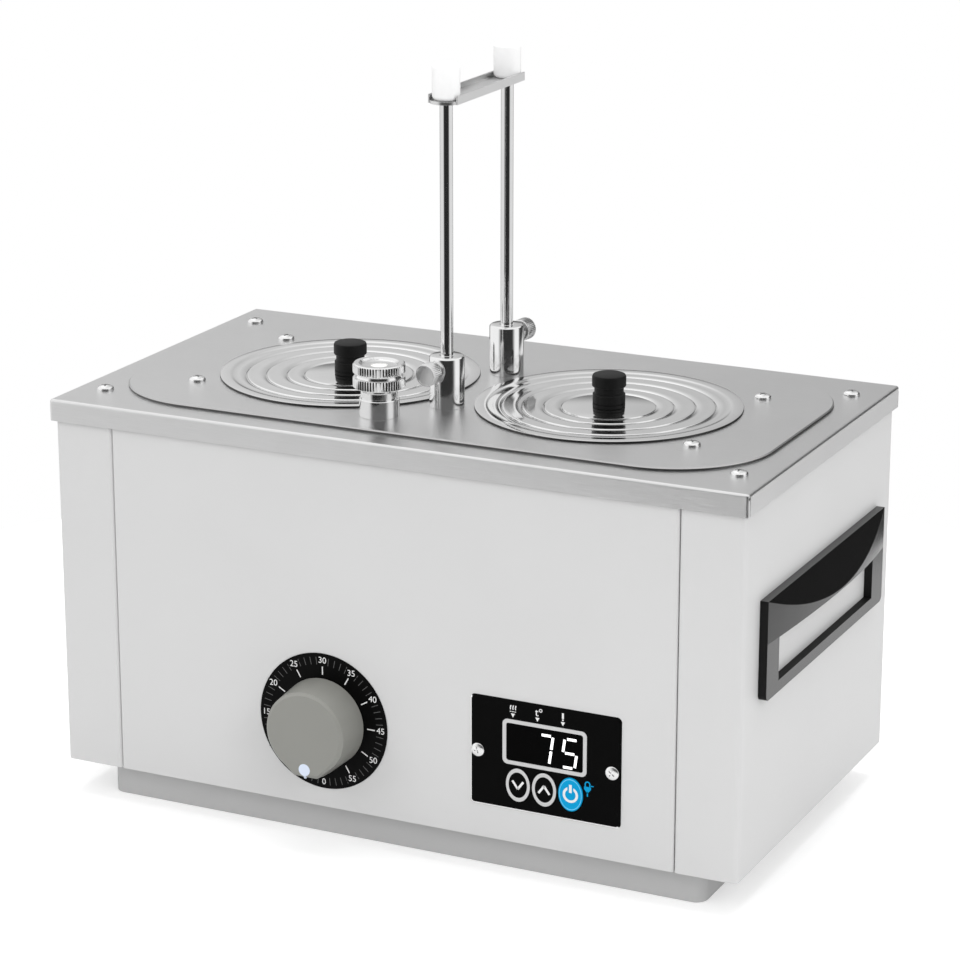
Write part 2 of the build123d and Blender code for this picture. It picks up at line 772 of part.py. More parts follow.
# Lifting shelf: perforated plate hung on the rods inside the tank
with BuildPart() as lifting_shelf:
    with BuildSketch(Plane.XY.offset(shelf_top - shelf_sheet)):
        stadium(shelf_radius)
    extrude(amount=shelf_sheet)
    with BuildSketch(Plane.XY.offset(shelf_top)):
        with GridLocations(place_pitch, 0, 2, 1):
            Circle(shelf_hole)
            with PolarLocations(shelf_hole_pitch, 6):
                Circle(shelf_hole)
            with PolarLocations(2 * shelf_hole_pitch, 12):
                Circle(shelf_hole)
        with GridLocations(0, rod_pitch, 1, 2):
            Circle(rod_radius + 0.1)
    extrude(amount=-shelf_sheet, mode=Mode.SUBTRACT)
lifting_shelf.part.label = "lifting_shelf"
export_step(lifting_shelf.part, "parts/lifting_shelf.step")

rod_nut = make_nut(nut_radius, nut_height, rod_radius + 0.05)
with BuildPart() as shelf_nuts:
    with Locations((0, 0, shelf_top), (0, 0, shelf_top - shelf_sheet - nut_height)):
        with GridLocations(0, rod_pitch, 1, 2):
            add(rod_nut)
shelf_nuts.part.label = "shelf_nuts"
export_step(shelf_nuts.part, "parts/shelf_nuts.step")

# Thermometer gland: body screwed through the insert plate, bored for a thermometer
gland_nut_bottom = gland_base + gland_neck + gland_head_gap
with BuildPart() as gland_body:
    with BuildSketch(upright(gland_x, gland_y, insert_top)):
        with BuildLine():
            Polyline(
                (gland_bore, -gland_spigot_length - insert_sheet),
                (gland_spigot, -gland_spigot_length - insert_sheet),
                (gland_spigot, 0),
                (gland_base_radius, 0),
                (gland_base_radius, gland_base),
                (gland_neck_radius, gland_base),
                (gland_neck_radius, gland_base + gland_neck),
                (gland_core_radius, gland_base + gland_neck),
                (gland_core_radius, gland_base + gland_neck + gland_core),
                (gland_bore, gland_base + gland_neck + gland_core),
                close=True,
            )
        make_face()
    revolve(axis=vertical_axis(gland_x, gland_y))
gland_body.part.label = "gland_body"
export_step(gland_body.part, "parts/gland_body.step")

# Gland seal: rubber ring squeezed between the body and the nut
seal_bottom = gland_base + gland_neck + gland_core
with BuildPart() as gland_seal_ring:
    with BuildSketch(Plane.XY.offset(insert_top + seal_bottom)):
        with Locations((gland_x, gland_y)):
            Circle(gland_core_radius - 0.3)
            Circle(gland_bore, mode=Mode.SUBTRACT)
    extrude(amount=gland_seal)
gland_seal_ring.part.label = "gland_seal"
export_step(gland_seal_ring.part, "parts/gland_seal.step")

# Gland nut: wide knurled head in two bands, dished on top round the thermometer's hole
head_bottom = gland_nut_bottom
head_top = gland_nut_bottom + gland_head
with BuildPart() as gland_nut:
    with BuildSketch(upright(gland_x, gland_y, insert_top)):
        with BuildLine():
            Polyline(
                (gland_core_radius + 0.08, head_bottom),
                (gland_head_radius, head_bottom),
                (gland_head_radius, head_bottom + gland_groove_low),
                (gland_groove_radius, head_bottom + gland_groove_low),
                (gland_groove_radius, head_bottom + gland_groove_low + gland_groove),
                (gland_head_radius, head_bottom + gland_groove_low + gland_groove),
                (gland_head_radius, head_top - gland_dish / 2),
                (gland_head_radius - gland_dish / 2, head_top),
                (gland_dish_radius, head_top),
                (gland_dish_radius - gland_dish, head_top - gland_dish),
                (gland_bore, head_top - gland_dish),
                (gland_bore, seal_bottom + gland_seal + 0.3),
                (gland_core_radius + 0.08, seal_bottom + gland_seal + 0.3),
                close=True,
            )
        make_face()
    revolve(axis=vertical_axis(gland_x, gland_y))
gland_nut.part.label = "gland_nut"
export_step(gland_nut.part, "parts/gland_nut.step")

# Timer dial: black disc on the front panel, round the timer's bush
with BuildPart() as timer_dial:
    with BuildSketch(front_plane):
        with Locations((timer_x, control_z)):
            Circle(dial_radius)
            Circle(timer_bush_radius + screw_play, mode=Mode.SUBTRACT)
    extrude(amount=dial_sheet)
    chamfer(timer_dial.faces().sort_by(Axis.Y)[0].outer_wire().edges(), dial_sheet / 3)
timer_dial.part.label = "timer_dial"
export_step(timer_dial.part, "parts/timer_dial.step")

# Timer body: clockwork case behind the front panel, its bush through the panel and the dial
timer_axis_end = (timer_x, control_z)
with BuildPart() as timer_body:
    with BuildSketch(front_plane.offset(-shell_sheet)):
        with Locations(timer_axis_end):
            Rectangle(timer_side, timer_side)
    extrude(amount=-timer_body_depth)
    fillet(timer_body.edges().filter_by(Axis.Y), knob_wall)
    with BuildSketch(front_plane.offset(-shell_sheet)):
        with Locations(timer_axis_end):
            Circle(timer_bush_radius)
    extrude(amount=shell_sheet + dial_sheet)
    with BuildSketch(front_plane.offset(dial_sheet)):
        with Locations(timer_axis_end):
            Circle(shaft_radius + shaft_fit)
    extrude(amount=-(dial_sheet + shell_sheet + timer_body_depth / 2), mode=Mode.SUBTRACT)
timer_body.part.label = "timer_body"
export_step(timer_body.part, "parts/timer_body.step")

# Timer shaft: turns with the knob
knob_back = dial_sheet + knob_gap
shaft_front = knob_back + knob_depth / 2
with BuildPart() as timer_shaft:
    with BuildSketch(front_plane.offset(shaft_front)):
        with Locations(timer_axis_end):
            Circle(shaft_radius)
    extrude(amount=-(shaft_front + shell_sheet + timer_body_depth / 2 - thumb_gap))
timer_shaft.part.label = "timer_shaft"
export_step(timer_shaft.part, "parts/timer_shaft.step")

# Timer knob: round grip, drawn out at its back to a leaning nose that points at the dial, hollow
with BuildPart() as timer_knob:
    with BuildSketch(front_plane.offset(knob_back)):
        with Locations((timer_x, control_z)):
            Circle(knob_back_radius)
        with Locations((timer_x, control_z - knob_nose_reach + knob_nose_radius)):
            Circle(knob_nose_radius)
        make_hull()
    extrude(amount=knob_depth, taper=knob_draft)
    with BuildSketch(Plane.YZ.offset(timer_x - knob_back_radius)):
        with BuildLine():
            nose_back = -front_face - knob_back
            nose_low = control_z - knob_nose_reach
            Polyline(
                (nose_back, nose_low),
                (nose_back - 2 * knob_depth, nose_low + 2 * knob_nose_lean),
                (nose_back - 2 * knob_depth, nose_low - knob_back_radius),
                (nose_back, nose_low - knob_back_radius),
                close=True,
            )
        make_face()
    extrude(amount=2 * knob_back_radius, mode=Mode.SUBTRACT)
    chamfer(timer_knob.faces().sort_by(Axis.Y)[0].edges(), knob_edge)
    with BuildSketch(front_plane.offset(knob_back)):
        with Locations((timer_x, control_z)):
            Circle(knob_back_radius - knob_wall)
            Circle(knob_hub_radius, mode=Mode.SUBTRACT)
    extrude(amount=knob_depth - 2 * knob_wall, taper=knob_draft, mode=Mode.SUBTRACT)
    with BuildSketch(front_plane.offset(knob_back)):
        with Locations((timer_x, control_z)):
            Circle(shaft_radius + 0.02)
    extrude(amount=knob_depth / 2 + thumb_gap, mode=Mode.SUBTRACT)
timer_knob.part.label = "timer_knob"
export_step(timer_knob.part, "parts/timer_knob.step")

# Controller bezel: black front plate with the display's window and three oval key holes
key_z = control_z - button_drop
window_z = control_z + window_lift
with BuildPart() as controller_bezel:
    with BuildSketch(front_plane):
        with Locations((controller_x, control_z)):
            RectangleRounded(bezel_width, bezel_height, bezel_corner)
            with GridLocations(bezel_screw_pitch, 0, 2, 1):
                Circle(screw_shank + screw_play, mode=Mode.SUBTRACT)
        with Locations((controller_x, window_z)):
            Rectangle(window_width, window_height, mode=Mode.SUBTRACT)
        with Locations((controller_x, key_z)):
            with GridLocations(button_pitch, 0, 3, 1):
                Ellipse(
                    button_width / 2 + button_play, button_height / 2 + button_play, mode=Mode.SUBTRACT
                )
    extrude(amount=bezel_sheet)
    chamfer(controller_bezel.faces().sort_by(Axis.Y)[0].outer_wire().edges(), bezel_sheet / 4)
    with BuildSketch(front_plane):
        with Locations((controller_x, window_z)):
            Rectangle(window_width + 2 * window_frame, window_height + 2 * window_frame)
            Rectangle(window_width, window_height, mode=Mode.SUBTRACT)
    extrude(amount=bezel_sheet + window_frame_rise)
controller_bezel.part.label = "controller_bezel"
export_step(controller_bezel.part, "parts/controller_bezel.step")

# Display window: smoked lens let into the bezel
with BuildPart() as display_window:
    with BuildSketch(front_plane):
        with Locations((controller_x, window_z)):
            Rectangle(window_width - 0.1, window_height - 0.1)
    extrude(amount=bezel_sheet - window_recess)
display_window.part.label = "display_window"
export_step(display_window.part, "parts/display_window.step")

# Keys: three oval push-buttons that travel into the housing
for key, step in (("down", -1), ("up", 0), ("power", 1)):
    with BuildPart() as button:
        with BuildSketch(front_plane.offset(bezel_sheet + button_proud)):
            with Locations((controller_x + step * button_pitch, key_z)):
                Ellipse(button_width / 2, button_height / 2)
        extrude(amount=-button_depth)
        chamfer(button.faces().sort_by(Axis.Y)[0].edges(), button_proud / 2)
    button.part.label = f"{key}_button"
    export_step(button.part, f"parts/{key}_button.step")

# Controller housing: open-fronted case through the panel's cut-out
with BuildPart() as controller_housing:
    with BuildSketch(front_plane):
        with Locations((controller_x, control_z)):
            Rectangle(cutout_width - 2 * housing_play, cutout_height - 2 * housing_play)
    extrude(amount=-housing_depth)
    with BuildSketch(front_plane):
        with Locations((controller_x, control_z)):
            Rectangle(
                cutout_width - 2 * housing_play - 2 * housing_wall,
                cutout_height - 2 * housing_play - 2 * housing_wall,
            )
    extrude(amount=-(housing_depth - housing_wall), mode=Mode.SUBTRACT)
controller_housing.part.label = "controller_housing"
export_step(controller_housing.part, "parts/controller_housing.step")

# Bezel screws
bezel_screw = make_screw(screw_length, bezel_screw_head_radius, bezel_screw_head)
with BuildPart() as controller_screws:
    with Locations(front_plane.offset(bezel_sheet)):
        with Locations((controller_x, control_z)):
            with GridLocations(bezel_screw_pitch, 0, 2, 1):
                add(bezel_screw)
controller_screws.part.label = "controller_screws"
export_step(controller_screws.part, "parts/controller_screws.step")


def make_hood(inset):
    """Bowed grip over the right handle's opening, made smaller by inset for its hollow."""
    grip_low = handle_z + handle_height / 2 - hood_height
    grip_face = side_face + handle_sheet - inset
    half = handle_length / 2 - (handle_end if inset else 0)
    bow_middle = grip_face + hood_bulge
    bow_end = grip_face + (hood_bulge * (1 - (2 * half / handle_length) ** 2) if inset else 0)
    slope = hood_drop / hood_bulge
    with BuildPart() as grip:
        with BuildSketch(Plane.XY.offset(grip_low - inset)):
            with BuildLine():
                Polyline((bow_end, half), (side_face, half), (side_face, -half), (bow_end, -half))
                ThreePointArc((bow_end, -half), (bow_middle, 0), (bow_end, half))
            make_face()
        extrude(amount=hood_height)
        with BuildSketch(Plane.XZ.offset(-handle_length)):
            with BuildLine():
                edge_x = side_face + handle_sheet - inset
                edge_z = handle_z + handle_height / 2 - inset
                Polyline(
                    (edge_x, edge_z),
                    (edge_x + 2 * hood_bulge, edge_z - 2 * hood_bulge * slope),
                    (edge_x + 2 * hood_bulge, edge_z + hood_height),
                    (edge_x, edge_z + hood_height),
                    close=True,
                )
            make_face()
        extrude(amount=2 * handle_length, mode=Mode.SUBTRACT)
        if not inset:
            with BuildSketch(Plane.XZ.offset(-handle_length)):
                with BuildLine():
                    Polyline(
                        (grip_face, grip_low),
                        (grip_face + 2 * hood_bulge, grip_low + 2 * hood_rise),
                        (grip_face + 2 * hood_bulge, grip_low - hood_height),
                        (grip_face, grip_low - hood_height),
                        close=True,
                    )
                make_face()
            extrude(amount=2 * handle_length, mode=Mode.SUBTRACT)
    return grip.part


# Handles: black moulded frame with a bowed grip, one on each side
hood_outer = make_hood(0)
hood_hollow = make_hood(hood_wall)
right_face = Plane.YZ.offset(side_face)
opening_height = handle_height - hood_height - handle_foot
with BuildPart() as right_handle:
    with BuildSketch(right_face):
        with Locations((0, handle_z)):
            RectangleRounded(handle_length, handle_height, handle_corner)
    extrude(amount=handle_sheet)
    add(hood_outer)
    with BuildSketch(right_face):
        with Locations((0, handle_z - handle_height / 2 + handle_foot + opening_height / 2)):
            Rectangle(handle_length - 2 * handle_end, opening_height)
    extrude(amount=handle_sheet + hood_bulge, mode=Mode.SUBTRACT)
    add(hood_hollow, mode=Mode.SUBTRACT)
    with BuildSketch(right_face):
        with Locations((0, handle_z)):
            with GridLocations(handle_length - handle_end, 0, 2, 1):
                Circle(handle_screw_hole)
    extrude(amount=handle_sheet / 2, mode=Mode.SUBTRACT)
right_handle.part.label = "right_handle"
export_step(right_handle.part, "parts/right_handle.step")

with BuildPart() as left_handle:
    add(right_handle.part)
    mirror(about=Plane.YZ, mode=Mode.REPLACE)
left_handle.part.label = "left_handle"
export_step(left_handle.part, "parts/left_handle.step")

# Handle screws: put in from inside the side shells
with BuildPart() as handle_screws:
    for sign in (-1, 1):
        shell_inside = Plane(
            origin=(sign * (side_face - shell_sheet), 0, handle_z), x_dir=(0, 1, 0), z_dir=(-sign, 0, 0)
        )
        with Locations(shell_inside):
            with GridLocations(handle_length - handle_end, 0, 2, 1):
                add(make_screw(shell_sheet + handle_sheet / 2 - 0.2))
handle_screws.part.label = "handle_screws"
export_step(handle_screws.part, "parts/handle_screws.step")

# Heater: tubular element bent into a hairpin over the tank's floor, both ends down through it
heater_z = tank_floor + heater_lift
with BuildPart() as heater_element:
    with BuildLine() as heater_path:
        FilletPolyline(
            (-heater_reach, -heater_half_span, tank_floor - heater_tail),
            (-heater_reach, -heater_half_span, heater_z),
            (heater_reach, -heater_half_span, heater_z),
            (heater_reach, heater_half_span, heater_z),
            (-heater_reach, heater_half_span, heater_z),
            (-heater_reach, heater_half_span, tank_floor - heater_tail),
            radius=[heater_lift - 2, heater_bend, heater_bend, heater_lift - 2],
        )
    with BuildSketch(Plane.XY.offset(tank_floor - heater_tail)):
        with Locations((-heater_reach, -heater_half_span)):
            Circle(heater_tube)
    sweep(path=heater_path.line)
heater_element.part.label = "heater_element"
export_step(heater_element.part, "parts/heater_element.step")

# Heater nuts: clamp each leg of the heater under the tank's floor
heater_nut_blank = make_nut(heater_nut_radius, heater_nut, heater_tube + 0.05)
with BuildPart() as heater_nuts:
    with Locations((-heater_reach, 0, tank_floor - tank_sheet - heater_nut)):
        with GridLocations(0, 2 * heater_half_span, 1, 2):
            add(heater_nut_blank)
heater_nuts.part.label = "heater_nuts"
export_step(heater_nuts.part, "parts/heater_nuts.step")

# Temperature probe: closed tube through the floor, with its flange below
with BuildPart() as temperature_probe:
    with BuildSketch(upright(probe_x, 0, tank_floor)):
        with BuildLine():
            Polyline(
                (0, -probe_tail),
                (probe_radius, -probe_tail),
                (probe_radius, -tank_sheet - probe_flange),
                (probe_flange_radius, -tank_sheet - probe_flange),
                (probe_flange_radius, -tank_sheet),
                (probe_radius, -tank_sheet),
                (probe_radius, probe_lift - probe_radius / 2),
                (probe_radius / 2, probe_lift),
                (0, probe_lift),
                close=True,
            )
        make_face()
    revolve(axis=vertical_axis(probe_x, 0))
temperature_probe.part.label = "temperature_probe"
export_step(temperature_probe.part, "parts/temperature_probe.step")

# Limit thermostat: snap disc against the underside of the tank
with BuildPart() as limit_thermostat:
    with BuildSketch(Plane.XY.offset(tank_floor - tank_sheet)):
        with Locations((thermostat_x, 0)):
            Circle(thermostat_radius)
    extrude(amount=-thermostat_height)
    with BuildSketch(Plane.XY.offset(tank_floor - tank_sheet - thermostat_height)):
        with Locations((thermostat_x, 0)):
            with GridLocations(thermostat_radius, 0, 2, 1):
                Rectangle(0.8, 6.3)
    extrude(amount=-thermostat_height)
limit_thermostat.part.label = "limit_thermostat"
export_step(limit_thermostat.part, "parts/limit_thermostat.step")

# Power board: circuit board on four standoffs with its relay, transformer and terminals
board_bottom = body_bottom + shell_sheet + bottom_sheet + standoff_height
with BuildPart() as power_board:
    with BuildSketch(Plane.XY.offset(board_bottom)):
        with Locations((board_x, board_y)):
            Rectangle(board_length, board_width)
    extrude(amount=board_sheet)
    with BuildSketch(Plane.XY.offset(board_bottom)):
        with Locations((board_x, board_y)):
            with GridLocations(board_length - 2 * board_hole_inset, board_width - 2 * board_hole_inset, 2, 2):
                Circle(standoff_radius)
    extrude(amount=-standoff_height)
    for (away, along), block in (
        (transformer_place, transformer_size),
        (relay_place, relay_size),
        (terminal_place, terminal_size),
    ):
        with Locations((board_x + away, board_y + along, board_bottom + board_sheet)):
            Box(*block, align=(Align.CENTER, Align.CENTER, Align.MIN))
power_board.part.label = "power_board"
export_step(power_board.part, "parts/power_board.step")

# Mains inlet: three-pin appliance inlet in the rear panel
with BuildPart() as mains_inlet:
    with BuildSketch(rear_plane):
        with Locations((inlet_x, inlet_z)):
            RectangleRounded(inlet_flange_width, inlet_flange_height, 3)
            with GridLocations(inlet_screw_pitch, 0, 2, 1):
                Circle(screw_shank, mode=Mode.SUBTRACT)
    extrude(amount=-inlet_flange)
    with BuildSketch(rear_plane):
        with Locations((inlet_x, inlet_z)):
            Rectangle(inlet_width, inlet_height)
    extrude(amount=inlet_depth)
    with BuildSketch(rear_plane.offset(-inlet_flange)):
        with Locations((inlet_x, inlet_z)):
            Rectangle(inlet_width - 2 * inlet_wall, inlet_height - 2 * inlet_wall)
    extrude(amount=inlet_depth, mode=Mode.SUBTRACT)
    with BuildSketch(rear_plane.offset(inlet_depth - inlet_flange)):
        with Locations((inlet_x, inlet_z)):
            with GridLocations(7, 0, 3, 1):
                Rectangle(2, 4)
    extrude(amount=-(inlet_depth - inlet_wall - inlet_flange))
mains_inlet.part.label = "mains_inlet"
export_step(mains_inlet.part, "parts/mains_inlet.step")
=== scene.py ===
import json
from math import atan2, cos, pi, radians, sin

import bpy
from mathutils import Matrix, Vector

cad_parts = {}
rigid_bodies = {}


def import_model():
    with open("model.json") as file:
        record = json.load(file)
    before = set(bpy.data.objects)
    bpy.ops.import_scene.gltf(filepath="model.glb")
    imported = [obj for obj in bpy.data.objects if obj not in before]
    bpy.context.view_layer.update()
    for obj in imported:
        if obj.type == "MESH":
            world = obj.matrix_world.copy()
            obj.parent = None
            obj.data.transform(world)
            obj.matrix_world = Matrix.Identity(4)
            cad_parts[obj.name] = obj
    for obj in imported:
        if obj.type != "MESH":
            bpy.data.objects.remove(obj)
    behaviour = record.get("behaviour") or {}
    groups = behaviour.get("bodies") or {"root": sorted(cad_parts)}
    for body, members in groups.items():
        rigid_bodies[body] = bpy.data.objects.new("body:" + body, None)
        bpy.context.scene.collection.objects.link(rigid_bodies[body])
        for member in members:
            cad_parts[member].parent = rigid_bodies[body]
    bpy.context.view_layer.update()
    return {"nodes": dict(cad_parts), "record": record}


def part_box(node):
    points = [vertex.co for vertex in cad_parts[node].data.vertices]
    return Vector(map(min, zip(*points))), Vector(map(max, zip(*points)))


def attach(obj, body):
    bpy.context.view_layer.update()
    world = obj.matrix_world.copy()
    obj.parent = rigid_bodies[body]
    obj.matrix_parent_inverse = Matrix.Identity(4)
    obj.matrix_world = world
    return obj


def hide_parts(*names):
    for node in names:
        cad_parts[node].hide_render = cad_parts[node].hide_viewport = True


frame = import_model()
mm = 0.001

# Plinth. A bent steel frame, powder coated in mid grey, that stands on the bench.
# It is set back under the body, and a strap crosses its underside.
nodes = frame["nodes"]
bodies = frame["record"]["behaviour"]["bodies"]
body_of = {node: body for body, members in bodies.items() for node in members}


class Value:
    """What a node of a finish gives. Sums written with it add the Math nodes that work them out."""

    def __init__(self, finish, socket):
        self.finish = finish
        self.socket = socket

    def math(self, operation, first, second=0.0):
        return self.finish.node("ShaderNodeMath", {"operation": operation}, {0: first, 1: second})

    def __add__(self, other):
        return self.math("ADD", self, other)

    def __sub__(self, other):
        return self.math("SUBTRACT", self, other)

    def __rsub__(self, other):
        return self.math("SUBTRACT", other, self)

    def __mul__(self, other):
        return self.math("MULTIPLY", self, other)

    def __truediv__(self, other):
        return self.math("DIVIDE", self, other)

    def __pow__(self, other):
        return self.math("POWER", self, other)

    __radd__ = __add__
    __rmul__ = __mul__


class Finish:
    """A material, or the studio's surroundings, whose nodes all come from its node method."""

    def __init__(self, name, surroundings=None):
        self.owner = surroundings or bpy.data.materials.new(name)
        self.owner.use_nodes = True
        self.tree = self.owner.node_tree
        self.tree.nodes.clear()

    def node(self, kind, settings=None, values=None, output=0):
        """Adds a node with its settings and its sockets' values, and gives one of its outputs."""
        made = self.tree.nodes.new(kind)
        for setting, value in (settings or {}).items():
            setattr(made, setting, value)
        for socket, value in (values or {}).items():
            if isinstance(value, Value):
                self.tree.links.new(value.socket, made.inputs[socket])
            else:
                made.inputs[socket].default_value = value
        return Value(self, made.outputs[output]) if len(made.outputs) else None

    def grain(self, size, stretch=(1, 1, 1), detail=2.0):
        """Noise with grains of the given size in millimetres, drawn out along X, Y and Z by stretch."""
        place = self.node("ShaderNodeTexCoord", output="Object")
        scale = tuple(1 / (size * mm * longer) for longer in stretch)
        spread = self.node("ShaderNodeMapping", values={"Vector": place, "Scale": scale})
        return self.node("ShaderNodeTexNoise", values={"Vector": spread, "Scale": 1.0, "Detail": detail})

    def blend(self, share, first, second):
        """A colour between two, going to the second as share goes to one."""
        mix = {0: share, 6: first, 7: second}
        return self.node("ShaderNodeMix", {"data_type": "RGBA"}, mix, output=2)

    def ramp(self, value, low, high):
        """Goes smoothly from 0 to 1 as a value goes from low to high."""
        span = {"Value": value, "From Min": low, "From Max": high}
        return self.node("ShaderNodeMapRange", {"interpolation_type": "SMOOTHSTEP"}, span)

    def relief(self, height, depth, strength):
        """A surface normal from a height, depth in millimetres."""
        sockets = {"Height": height, "Distance": depth * mm, "Strength": strength}
        return self.node("ShaderNodeBump", values=sockets)

    def surface(self, **values):
        """The shader and the output. An underscore in a socket's name stands for a space."""
        sockets = {name.replace("_", " "): value for name, value in values.items()}
        shader = self.node("ShaderNodeBsdfPrincipled", values=sockets)
        self.node("ShaderNodeOutputMaterial", values={"Surface": shader})
        return self


def colour(red, green=None, blue=None):
    """A colour as it looks on a screen, from 0 to 1, as a shader takes it. One number is a grey."""
    seen = (red, red if green is None else green, red if blue is None else blue)
    return tuple(c / 12.92 if c < 0.04045 else ((c + 0.055) / 1.055) ** 2.4 for c in seen) + (1,)


def powder_coat(name, level):
    """Powder-coated sheet in a grey of the given level, with a fine orange peel."""
    finish = Finish(name)
    peel = finish.grain(0.9)
    cloud = finish.grain(70, detail=1.0)
    body = finish.blend(cloud, colour(level - 0.008), colour(level + 0.008))
    return finish.surface(
        Base_Color=body,
        Roughness=0.36 + peel * 0.12,
        Specular_IOR_Level=0.45,
        Normal=finish.relief(peel, 0.03, 0.35),
    )


def only(piece):
    """Selects this object alone."""
    bpy.ops.object.select_all(action="DESELECT")
    piece.select_set(True)
    bpy.context.view_layer.objects.active = piece


def edit(piece, select="SELECT"):
    """Opens a piece for editing with all of it selected, or none."""
    only(piece)
    bpy.ops.object.mode_set(mode="EDIT")
    bpy.ops.mesh.select_mode(type="VERT")
    bpy.ops.mesh.select_all(action=select)


def pick(piece, kind, wanted):
    """Opens a piece for editing with the edges or faces selected that the test picks."""
    edit(piece, "DESELECT")
    bpy.ops.mesh.select_mode(type=kind)
    bpy.ops.object.mode_set(mode="OBJECT")
    for item in piece.data.edges if kind == "EDGE" else piece.data.polygons:
        item.select = wanted(item)
    bpy.ops.object.mode_set(mode="EDIT")


def smoothed(piece, angle=35):
    """Shades a piece smooth between its sharp edges."""
    only(piece)
    bpy.ops.object.shade_smooth_by_angle(angle=radians(angle))
    return piece


def rounded(piece, width, steps=2, angle=30):
    """Rounds the sharp edges of a finished piece and shades it smooth between the rest."""
    if not width:
        return smoothed(piece, angle)
    only(piece)
    bpy.ops.object.modifier_add(type="BEVEL")
    bevel = piece.modifiers[-1]
    bevel.width = width * mm
    bevel.segments = steps
    bevel.angle_limit = radians(angle)
    bpy.ops.object.modifier_apply(modifier=bevel.name)
    smoothed(piece, angle)
    bpy.ops.object.modifier_add(type="WEIGHTED_NORMAL")
    normals = piece.modifiers[-1]
    normals.keep_sharp = True
    bpy.ops.object.modifier_apply(modifier=normals.name)
    return piece


def fit(piece, finish, *stands_for, on=None):
    """Gives a new piece its finish and hangs it on the body of the node that it stands for, or lies on."""
    piece.data.materials.clear()
    piece.data.materials.append(finish.owner)
    carrier = on or stands_for[0]
    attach(piece, body_of[carrier])
    if stands_for:
        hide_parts(*stands_for)
    return piece


def refined(node, finish, width=0.3, steps=2, angle=30):
    """The shape of a CAD node taken over as one closed mesh, its edges rounded as on the real piece."""
    only(nodes[node])
    bpy.ops.object.duplicate()
    piece = bpy.context.object
    piece.name = "finished_" + node
    bpy.ops.object.parent_clear(type="CLEAR_KEEP_TRANSFORM")
    bpy.ops.mesh.customdata_custom_splitnormals_clear()
    edit(piece)
    bpy.ops.mesh.remove_doubles(threshold=0.002 * mm)
    bpy.ops.mesh.dissolve_limited(angle_limit=radians(0.5))
    bpy.ops.object.mode_set(mode="OBJECT")
    return fit(rounded(piece, width, steps, angle), finish, node)


def clothe(finish, *names):
    """Gives CAD nodes that stay as they are their finish."""
    for name in names:
        data = nodes[name].data
        data.materials.clear()
        data.materials.append(finish.owner)


mid_grey_coat = powder_coat("mid_grey_coat", 0.76)
refined("base_plinth", mid_grey_coat)

# Body. Two side shells bent from one sheet each, the front and rear panels between them and the
# plate below, all steel sheet of 1 mm, powder coated in light grey.
light_grey_coat = powder_coat("light_grey_coat", 0.83)
for sheet in ("left_side_shell", "right_side_shell", "front_panel", "rear_panel", "bottom_plate"):
    refined(sheet, light_grey_coat, 0.25)

# Tank. A trough drawn from stainless sheet and its felt jacket, the heater with its nuts and the
# probe, which go through its floor, and the thermostat that rests against the floor from below.


def brushed_steel(name, level, rough, along=(40, 1, 1), depth=0.01, size=0.35):
    """Steel with fine lines of the given size, drawn out along X, Y and Z, as a belt leaves them."""
    finish = Finish(name)
    lines = finish.grain(size, along, 3.0)
    cloud = finish.grain(45, detail=1.0)
    body = finish.blend(lines * 0.7 + cloud * 0.3, colour(level - 0.035), colour(level + 0.035))
    return finish.surface(
        Base_Color=body,
        Metallic=1.0,
        Roughness=rough - 0.05 + lines * 0.1,
        Normal=finish.relief(lines, depth, 0.6),
    )


def moulded(name, tint, rough=0.45, grain=0.5, depth=0.02, specular=0.5):
    """Plastic, rubber or a printed board: an even colour with a fine moulded grain."""
    finish = Finish(name)
    texture = finish.grain(grain)
    cloud = finish.grain(25, detail=1.0)
    darker = tuple(channel * 0.93 for channel in tint[:3]) + (1,)
    return finish.surface(
        Base_Color=finish.blend(cloud, darker, tint),
        Roughness=rough - 0.04 + texture * 0.08,
        Specular_IOR_Level=specular,
        Normal=finish.relief(texture, depth, 0.4),
    )


drawn_steel = brushed_steel("drawn_steel", 0.74, 0.3, (1, 1, 12))
heater_steel = brushed_steel("heater_steel", 0.62, 0.32, (12, 1, 1))
felt = moulded("felt", colour(0.86, 0.82, 0.74), 0.95, 0.4, 0.3, 0.1)
glazed_white = moulded("glazed_white", colour(0.88, 0.86, 0.82), 0.3)
zinc = brushed_steel("zinc", 0.74, 0.28, (1, 1, 1), 0.004)
refined("inner_tank", drawn_steel, 0.3)
refined("heater_element", heater_steel, 0)
clothe(felt, "tank_insulation")
clothe(glazed_white, "limit_thermostat")
refined("temperature_probe", heater_steel, 0.2)
refined("heater_nuts", zinc, 0.2)

# Electrics. The board on its standoffs, the timer's clockwork case, the controller's housing and
# the inlet for an appliance plug in the rear panel.
board_green = moulded("board_green", colour(0.16, 0.42, 0.24), 0.4)
black_plastic = moulded("black_plastic", colour(0.10), 0.4)
case_steel = brushed_steel("case_steel", 0.7, 0.35, (6, 1, 1))
refined("power_board", board_green, 0.2)
refined("timer_body", case_steel, 0.3)
refined("controller_housing", black_plastic, 0.3)
refined("mains_inlet", black_plastic, 0.3)

# Cover. A tray of stainless sheet turned over the body, brushed along its length. Its skirt is
# slit at the four corners, with a small relief hole at the top of each slit.
cover_steel = brushed_steel("cover_steel", 0.90, 0.30, (60, 1, 1), 0.12, 0.25)
refined("top_cover", cover_steel, 0.12)

